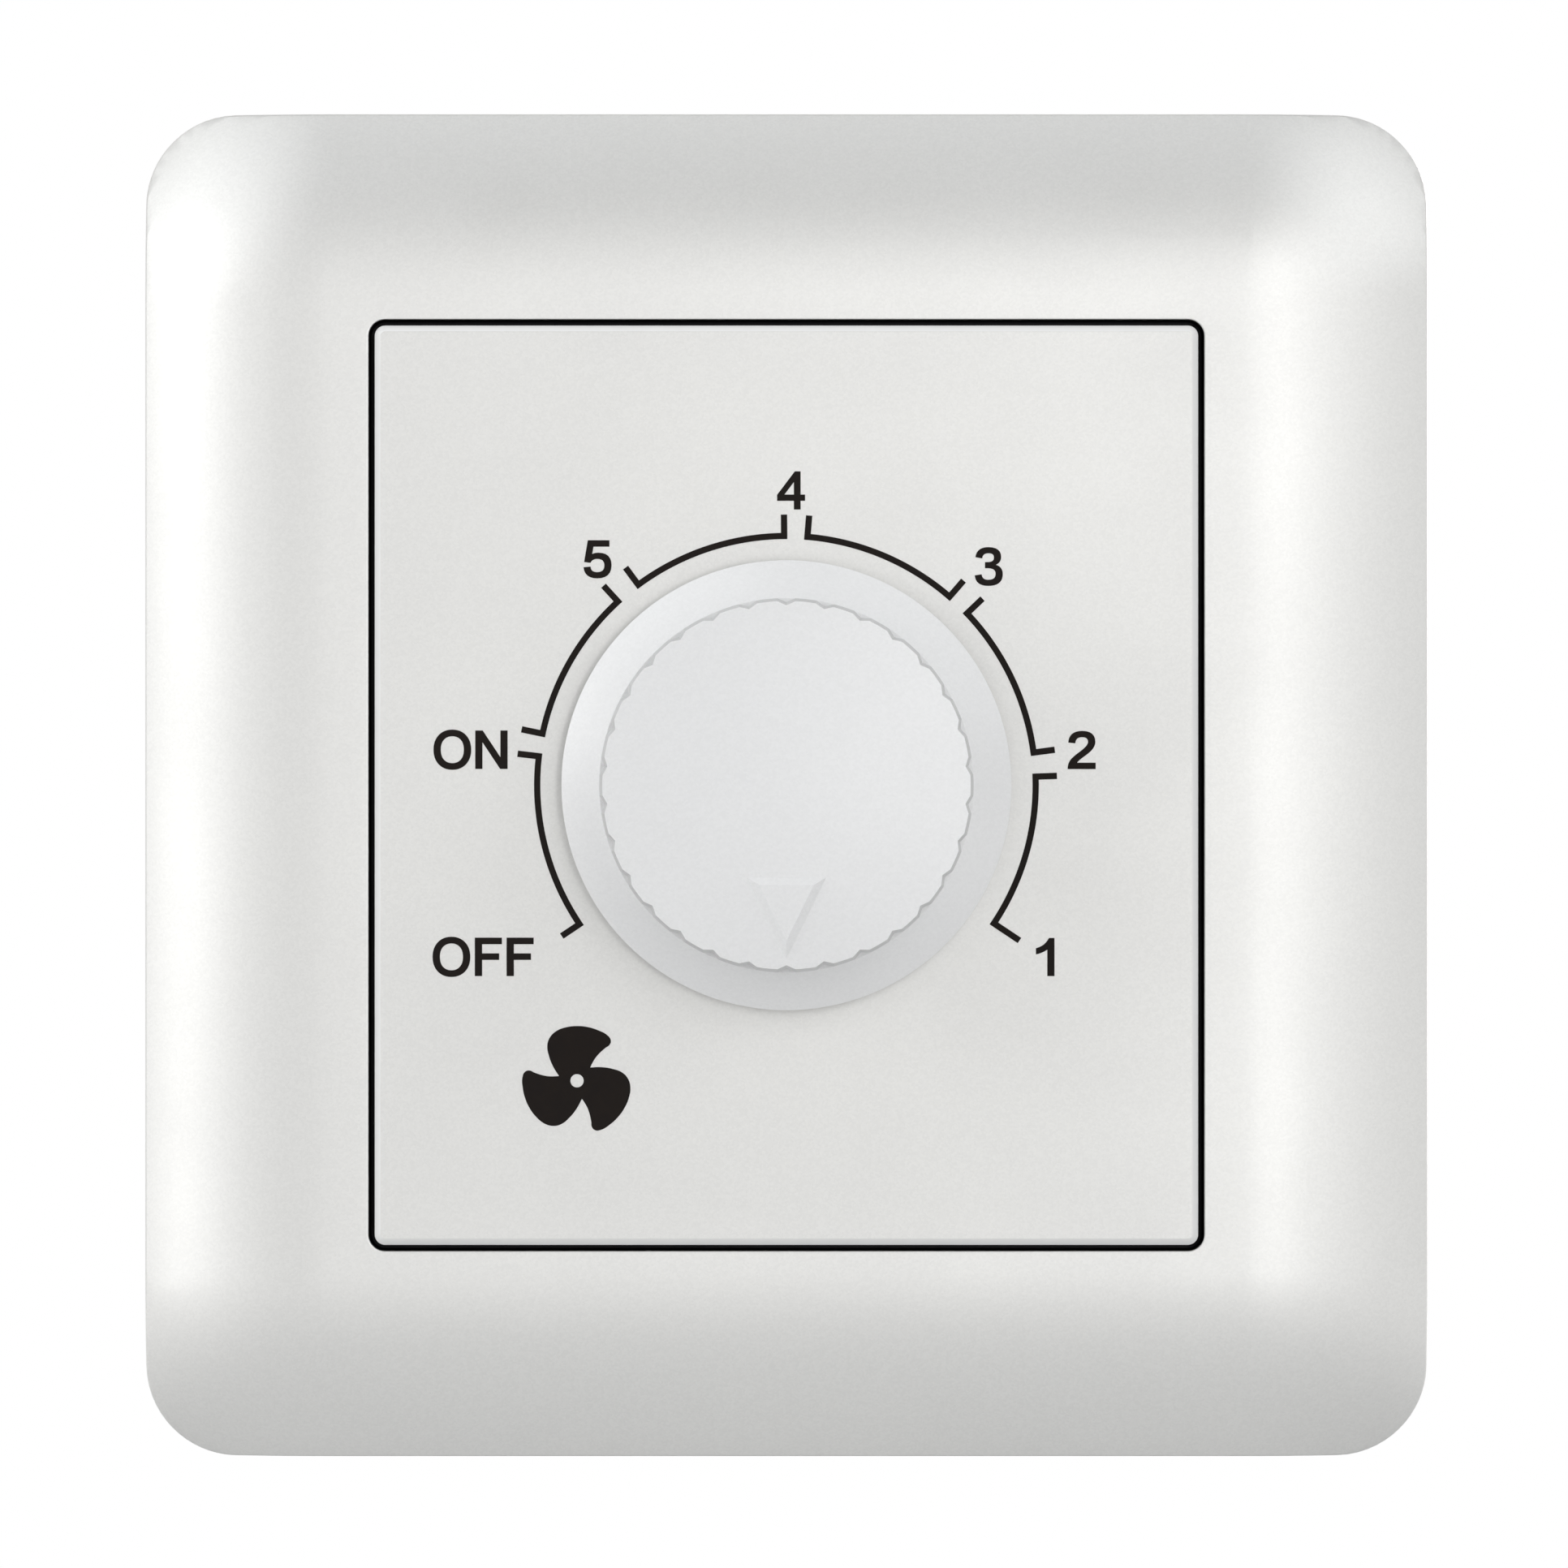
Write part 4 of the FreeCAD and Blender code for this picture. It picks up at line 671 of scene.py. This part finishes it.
def coat(finish, *pieces):
    for piece in pieces:
        piece.data.materials.clear()
        piece.data.materials.append(finish)
    print(finish.name, "on", ", ".join(piece.name for piece in pieces))


def dress(finish, *nodes):
    coat(finish, *[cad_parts[name] for name in nodes])


# %% [markdown]
# ## Silver paint
# The front is sprayed with a satin silver that is half metal, half pearl: the frame shines most, the
# panel less, and the knob is almost white. The gap round the panel is coloured near black as painted
# shade, so it reads as a black line, and the panel's edge is coloured lighter as a painted highlight.
# The knob's steep walls, the flutes' walls among them, are coloured darker grey as painted shade.
# A second material on those faces would do, but its border would be hard.

# %% Silver paint of the frame, the panel and the knob
SILVER = (0.82, 0.815, 0.795)
SILVER_SHADE = (0.805, 0.80, 0.782)
PANEL_SILVER = (0.81, 0.805, 0.785)
PANEL_SHADE = (0.795, 0.79, 0.772)
KNOB_SILVER = (0.91, 0.91, 0.91)
KNOB_SHADE = (0.895, 0.895, 0.895)
# Painted shade: the knob's steep walls, the flutes' walls among them, are coloured darker grey
KNOB_WALL_PAINTED_SHADE = (0.64, 0.64, 0.64)
# Painted highlight: the panel's sloped edge is coloured lighter than its face
PANEL_RIM_PAINTED_HIGHLIGHT = (0.96, 0.96, 0.95)
# Painted shade: the panel's side walls and the inside of the frame's opening are coloured near black, so the gap
# reads as a black line
GAP_PAINTED_SHADE = (0.03, 0.03, 0.032)
WALL = {"Start": 0.5, "Full": 0.2}
RIM = {"Start": 0.95, "Full": 0.85}
FRAME_METAL, PANEL_METAL, KNOB_METAL, RIM_METAL = 0.7, 0.55, 0.1, 0.1
BESIDE_PANEL = 0.5 * MM
BELOW_FRONT = 0.2 * MM
panel_low, panel_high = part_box("front_panel")
opening_half = [max(-panel_low[i], panel_high[i]) + BESIDE_PANEL for i in (0, 1, 2)]
opening_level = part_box("outer_frame")[0][1] + BELOW_FRONT
inside_opening = {"Half": opening_half, "Level": opening_level}
silver_frame = make_finish("silver_frame", SILVER, SILVER_SHADE, rough=(0.44, 0.48), metallic=FRAME_METAL, edge=0,
                           sparkle=0.05, areas=[(opening, inside_opening, GAP_PAINTED_SHADE, FRAME_METAL)])
silver_panel = make_finish("silver_panel", PANEL_SILVER, PANEL_SHADE, rough=(0.44, 0.48), metallic=PANEL_METAL,
                           edge=0.1, sparkle=0.05, areas=[(walls, RIM, PANEL_RIM_PAINTED_HIGHLIGHT, RIM_METAL),
                                                          (walls, WALL, GAP_PAINTED_SHADE, PANEL_METAL)])
silver_knob = make_finish("silver_knob", KNOB_SILVER, KNOB_SHADE, rough=(0.40, 0.44), metallic=KNOB_METAL, edge=0.03,
                          sparkle=0.04, areas=[(walls, WALL, KNOB_WALL_PAINTED_SHADE, KNOB_METAL)])
print("the opening reaches", [round(half / MM, 2) for half in opening_half], "mm from the knob's axis")
coat(silver_frame, frame_skin)
dress(silver_panel, "front_panel")
coat(silver_knob, knob_skin)

# %% [markdown]
# ## Mouldings behind the plate
# The chassis, the housing and the terminal block are bare plastic with the matt texture of their mould.
# It is too fine to model, so it is a bump.

# %% Mouldings behind the plate
white_moulding = make_finish("white_moulding", (0.80, 0.80, 0.77), (0.76, 0.76, 0.73), rough=(0.48, 0.58),
                             grain=4000.0, bump=0.15, edge=0.2)
grey_moulding = make_finish("grey_moulding", (0.50, 0.51, 0.52), (0.46, 0.47, 0.48), rough=(0.5, 0.6),
                            grain=4000.0, bump=0.2, edge=0.25)
dark_moulding = make_finish("dark_moulding", (0.035, 0.035, 0.038), (0.05, 0.05, 0.052), rough=(0.45, 0.6),
                            grain=5000.0, bump=0.2, edge=0.12)
dress(white_moulding, "base_chassis", "terminal_block", "pot_rotor")
dress(grey_moulding, "rear_housing")
dress(dark_moulding, "pot_case", "triac", "resistors", "diac")

# %% [markdown]
# ## Metals
# Screws, springs and clips are plated, the shaft and the heat sink are drawn or rolled aluminium, the
# bush is cast and the terminals are turned. All are fully metallic. The grain is stretched along one
# axis where a tool or a roller has left its lines, and the turns of copper wire are such lines too.

# %% Metals
plated_steel = make_finish("plated_steel", (0.60, 0.61, 0.62), (0.50, 0.51, 0.53), patch=300.0, rough=(0.22, 0.36),
                           metallic=1.0, grain=3000.0, bump=0.05, edge=0.08)
sheet_aluminium = make_finish("sheet_aluminium", (0.74, 0.75, 0.76), (0.66, 0.67, 0.68), patch=200.0,
                              rough=(0.3, 0.42), metallic=1.0, grain=6000.0, stretch=(1, 1, 0.03), bump=0.1,
                              edge=0.08)
cast_zinc = make_finish("cast_zinc", (0.60, 0.61, 0.62), (0.52, 0.53, 0.54), patch=400.0, rough=(0.4, 0.55),
                        metallic=1.0, grain=3500.0, bump=0.15, edge=0.1)
turned_brass = make_finish("turned_brass", (0.74, 0.54, 0.22), (0.62, 0.43, 0.16), patch=250.0, rough=(0.22, 0.36),
                           metallic=1.0, grain=5000.0, stretch=(1, 1, 0.05), bump=0.06, edge=0.1)
enamelled_copper = make_finish("enamelled_copper", (0.58, 0.22, 0.09), (0.46, 0.16, 0.06), patch=250.0,
                               rough=(0.2, 0.3), metallic=1.0, grain=1800.0, stretch=(0.02, 0.02, 1), bump=0.5,
                               depth=0.2, edge=0)
dress(plated_steel, "knob_spring", "pot_nut", "pot_washer", "pot_pins", "triac_clip", "terminal_screws")
dress(sheet_aluminium, "heat_sink", "pot_shaft")
dress(cast_zinc, "pot_bushing")
dress(turned_brass, "line_terminal", "load_terminal")
dress(enamelled_copper, "choke_winding")

# %% [markdown]
# ## Parts on the board
# These sit inside the housing. They get the plain colours of their kinds: green solder mask, dark
# ferrite, and dipped or moulded cases with some gloss.

# %% Parts on the board
solder_mask = make_finish("solder_mask", (0.03, 0.17, 0.07), (0.02, 0.11, 0.045), patch=220.0, rough=(0.25, 0.4),
                          grain=1500.0, bump=0.1, edge=0.05)
sintered_ferrite = make_finish("sintered_ferrite", (0.09, 0.09, 0.10), (0.06, 0.06, 0.065), patch=500.0,
                               rough=(0.6, 0.75), grain=5000.0, bump=0.3, edge=0.15)
yellow_film = make_finish("yellow_film", (0.62, 0.46, 0.10), (0.56, 0.40, 0.08), rough=(0.25, 0.35), bump=0.05,
                          edge=0.3)
red_dip = make_finish("red_dip", (0.40, 0.05, 0.04), (0.32, 0.035, 0.03), rough=(0.2, 0.3), bump=0.05, edge=0.4)
black_gloss = make_finish("black_gloss", (0.03, 0.03, 0.033), (0.045, 0.045, 0.05), rough=(0.2, 0.32), bump=0.05,
                          edge=0.2)
dress(solder_mask, "circuit_board")
dress(sintered_ferrite, "choke_core")
dress(yellow_film, "suppression_capacitor")
dress(red_dip, "timing_capacitor")
dress(black_gloss, "fuse")

# %% [markdown]
# ## Ink
# The print is black ink with a warm tone and hardly any gloss. It could share the dark plastic's
# finish, but would then mirror the lamps and turn grey.

# %% Ink of the dial
dial_ink = make_finish("dial_ink", (0.009, 0.006, 0.005), (0.014, 0.010, 0.008), patch=900.0, rough=(0.6, 0.75),
                       specular=0.15, grain=6000.0, bump=0.05, edge=0)
coat(dial_ink, dial_scale, fan_sign, *labels)

# %% [markdown]
# ## World
# The switch is seen against white. The camera sees white all round, and so does what shines or is clear
# where it looks back past the switch. In front of it is a plain room, pale at the height of the switch
# and along its side walls and darker above and below, and that gives the crown of the frame its soft
# bands and light corners. As light the room is dimmer still, so that the lamps can shape the switch. A
# picture of a studio would do the same, but this needs no file.


# %% Kinds of ray
def kinds_of_ray(tree):
    """Two masks: one for rays from reflections and through glass, and one for rays from the camera."""
    path = tree.nodes.new("ShaderNodeLightPath")
    either = add_node(tree, "ShaderNodeMath", operation="MAXIMUM")
    tree.links.new(path.outputs["Is Glossy Ray"], either.inputs[0])
    tree.links.new(path.outputs["Is Transmission Ray"], either.inputs[1])
    return either.outputs["Value"], path.outputs["Is Camera Ray"]


# %% The room in front
HORIZON, ZENITH, DARK_FROM = 0.62, 0.06, 0.8
SIDE_WALL, SIDE_FROM, SIDE_FULL = 0.45, 0.3, 0.65
world = bpy.data.worlds.new("studio_white")
bpy.context.scene.world = world
world.use_nodes = True
tree = world.node_tree
place = add_node(tree, "ShaderNodeTexCoord")
aim = add_node(tree, "ShaderNodeSeparateXYZ")
height = add_node(tree, "ShaderNodeMath", operation="ABSOLUTE")
fall = range_node(tree, 0.0, DARK_FROM, HORIZON, ZENITH)
sideways = add_node(tree, "ShaderNodeMath", operation="ABSOLUTE")
beside = range_node(tree, SIDE_FROM, SIDE_FULL, 0.0, SIDE_WALL)
room = add_node(tree, "ShaderNodeMath", operation="MAXIMUM")
tree.links.new(place.outputs["Generated"], aim.inputs["Vector"])
tree.links.new(aim.outputs["Z"], height.inputs[0])
tree.links.new(height.outputs["Value"], fall.inputs["Value"])
tree.links.new(aim.outputs["X"], sideways.inputs[0])
tree.links.new(sideways.outputs["Value"], beside.inputs["Value"])
tree.links.new(fall.outputs["Result"], room.inputs[0])
tree.links.new(beside.outputs["Result"], room.inputs[1])
print("the room goes from", HORIZON, "at the horizon to", ZENITH, "overhead")

# %% The white behind
SKY_FILL = 0.52
BACKDROP_FROM, BACKDROP_FULL = 0.2, 0.7
sky = tree.nodes["Background"]
sky.inputs["Color"].default_value = (1, 1, 1, 1)
reflected, camera_ray = kinds_of_ray(tree)
level = range_node(tree, 0.0, 1.0, SKY_FILL, 1.0, smooth=False)
lit = add_node(tree, "ShaderNodeMath", operation="MULTIPLY")
backdrop = range_node(tree, BACKDROP_FROM, BACKDROP_FULL)
mirrored = add_node(tree, "ShaderNodeMath", operation="MULTIPLY")
shone = add_node(tree, "ShaderNodeMath", operation="MAXIMUM")
white = add_node(tree, "ShaderNodeMath", operation="MAXIMUM")
tree.links.new(reflected, level.inputs["Value"])
tree.links.new(room.outputs["Value"], lit.inputs[0])
tree.links.new(level.outputs["Result"], lit.inputs[1])
tree.links.new(aim.outputs["Y"], backdrop.inputs["Value"])
tree.links.new(backdrop.outputs["Result"], mirrored.inputs[0])
tree.links.new(reflected, mirrored.inputs[1])
tree.links.new(lit.outputs["Value"], shone.inputs[0])
tree.links.new(mirrored.outputs["Value"], shone.inputs[1])
tree.links.new(shone.outputs["Value"], white.inputs[0])
tree.links.new(camera_ray, white.inputs[1])
tree.links.new(white.outputs["Value"], sky.inputs["Strength"])
print("as light the room is dimmed to", SKY_FILL)

# %% [markdown]
# ## Floor
# The floor lies below the plate. Near the switch it is paper that takes a shadow, and further out it
# turns into the white of the background, so that no horizon shows.

# %% Floor
FLOOR_LEVEL = -0.085
FLOOR_SIZE = 6.0
FLOOR_SQUARES = 8
bpy.ops.object.select_all(action="DESELECT")
bpy.ops.mesh.primitive_grid_add(x_subdivisions=FLOOR_SQUARES, y_subdivisions=FLOOR_SQUARES, size=FLOOR_SIZE,
                                location=(0, 0, FLOOR_LEVEL))
floor = bpy.context.object
floor.name = "studio_floor"
print("floor at z =", FLOOR_LEVEL)

# %% Paper of the floor
PAPER = (0.88, 0.88, 0.88, 1)
NEAR, FAR = 0.16, 0.40
NARROWER = (2.0, 1.0, 1.0)
floor_paper = bpy.data.materials.new("floor_paper")
floor_paper.use_nodes = True
tree = floor_paper.node_tree
tree.nodes.remove(tree.nodes["Principled BSDF"])
paper = add_node(tree, "ShaderNodeBsdfDiffuse", Color=PAPER)
glow = add_node(tree, "ShaderNodeEmission", Color=(1, 1, 1, 1))
place = add_node(tree, "ShaderNodeTexCoord")
narrowed = add_node(tree, "ShaderNodeVectorMath", operation="MULTIPLY")
narrowed.inputs[1].default_value = NARROWER
away = add_node(tree, "ShaderNodeVectorMath", operation="LENGTH")
fade = range_node(tree, NEAR, FAR)
strength = range_node(tree, 0.0, 1.0, SKY_FILL, 1.0, smooth=False)
seen = add_node(tree, "ShaderNodeMath", operation="MAXIMUM")
mixed = add_node(tree, "ShaderNodeMixShader")
tree.links.new(place.outputs["Object"], narrowed.inputs[0])
tree.links.new(narrowed.outputs["Vector"], away.inputs[0])
tree.links.new(away.outputs["Value"], fade.inputs["Value"])
reflected, camera_ray = kinds_of_ray(tree)
tree.links.new(reflected, seen.inputs[0])
tree.links.new(camera_ray, seen.inputs[1])
tree.links.new(seen.outputs["Value"], strength.inputs["Value"])
tree.links.new(strength.outputs["Result"], glow.inputs["Strength"])
tree.links.new(fade.outputs["Result"], mixed.inputs["Fac"])
tree.links.new(paper.outputs["BSDF"], mixed.inputs[1])
tree.links.new(glow.outputs["Emission"], mixed.inputs[2])
tree.links.new(mixed.outputs["Shader"], tree.nodes["Material Output"].inputs["Surface"])
floor.data.materials.append(floor_paper)
print("the paper turns white between", NEAR, "and", FAR, "m")

# %% [markdown]
# ## Lamps
# Two large soft boxes above the switch, the left one stronger, and a small one overhead light its upper
# side and leave the lower slopes of the frame greyer. They are a little cool, as those slopes are. Two
# upright strips draw the bright bands down the frame's sides, a small box in front lifts the right of the
# panel, and one behind lights the back for the other views. One large lamp would be plainer, but the
# crown would then have no bands.


# %% Lamps
def hang_lamp(name, place, watts, width, height, colour=(1, 1, 1)):
    """A soft box that faces the switch."""
    bpy.ops.object.light_add(type="AREA", location=place)
    lamp = bpy.context.object
    lamp.name = name
    lamp.data.shape = "RECTANGLE"
    lamp.data.size = width
    lamp.data.size_y = height
    lamp.data.energy = watts
    lamp.data.color = colour
    lamp.rotation_euler = (-Vector(place)).to_track_quat("-Z", "Y").to_euler()
    print(name, "at", place, "gives", watts, "W")


COOL = (0.965, 0.985, 1.0)
hang_lamp("upper_left_soft_box", (-0.62, -0.36, 0.60), 4.0, 1.1, 1.1, COOL)
hang_lamp("upper_right_soft_box", (0.62, -0.36, 0.60), 2.9, 1.0, 1.0, COOL)
hang_lamp("overhead_soft_box", (0.0, -0.12, 0.90), 0.65, 0.6, 0.3, COOL)
hang_lamp("front_right_soft_box", (0.45, -0.78, 0.15), 0.42, 0.5, 0.5)
hang_lamp("left_strip", (-0.78, -0.45, 0.0), 1.65, 0.2, 0.8)
hang_lamp("right_strip", (0.17, -0.70, 0.03), 0.9, 0.12, 0.6)
hang_lamp("rear_soft_box", (0.35, 0.85, 0.14), 2.8, 1.0, 0.4)

# %% [markdown]
# ## Camera
# The switch is seen straight on through a long lens. The view is a little over a hundred millimetres
# wide at the plate, and its middle is close to the knob's axis.

# %% Camera
VIEW_WIDTH = 104.7 * MM
CAMERA_AWAY = 0.95
SENSOR = 36.0
CLIP_START = 0.01
PIXELS = 1932
KNOB_PIXEL = (969.0, 967.5)
plate_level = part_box("outer_frame")[0][1]
aside = [(KNOB_PIXEL[i] - PIXELS / 2) / PIXELS * VIEW_WIDTH for i in (0, 1)]
bpy.ops.object.camera_add(location=(-aside[0], plate_level - CAMERA_AWAY, aside[1]),
                          rotation=(math.radians(90), 0, 0))
camera = bpy.context.object
camera.data.sensor_width = SENSOR
camera.data.lens = SENSOR * CAMERA_AWAY / VIEW_WIDTH
camera.data.clip_start = CLIP_START
bpy.context.scene.camera = camera
bpy.context.scene.view_settings.view_transform = "Standard"
print("lens of", round(camera.data.lens), "mm")
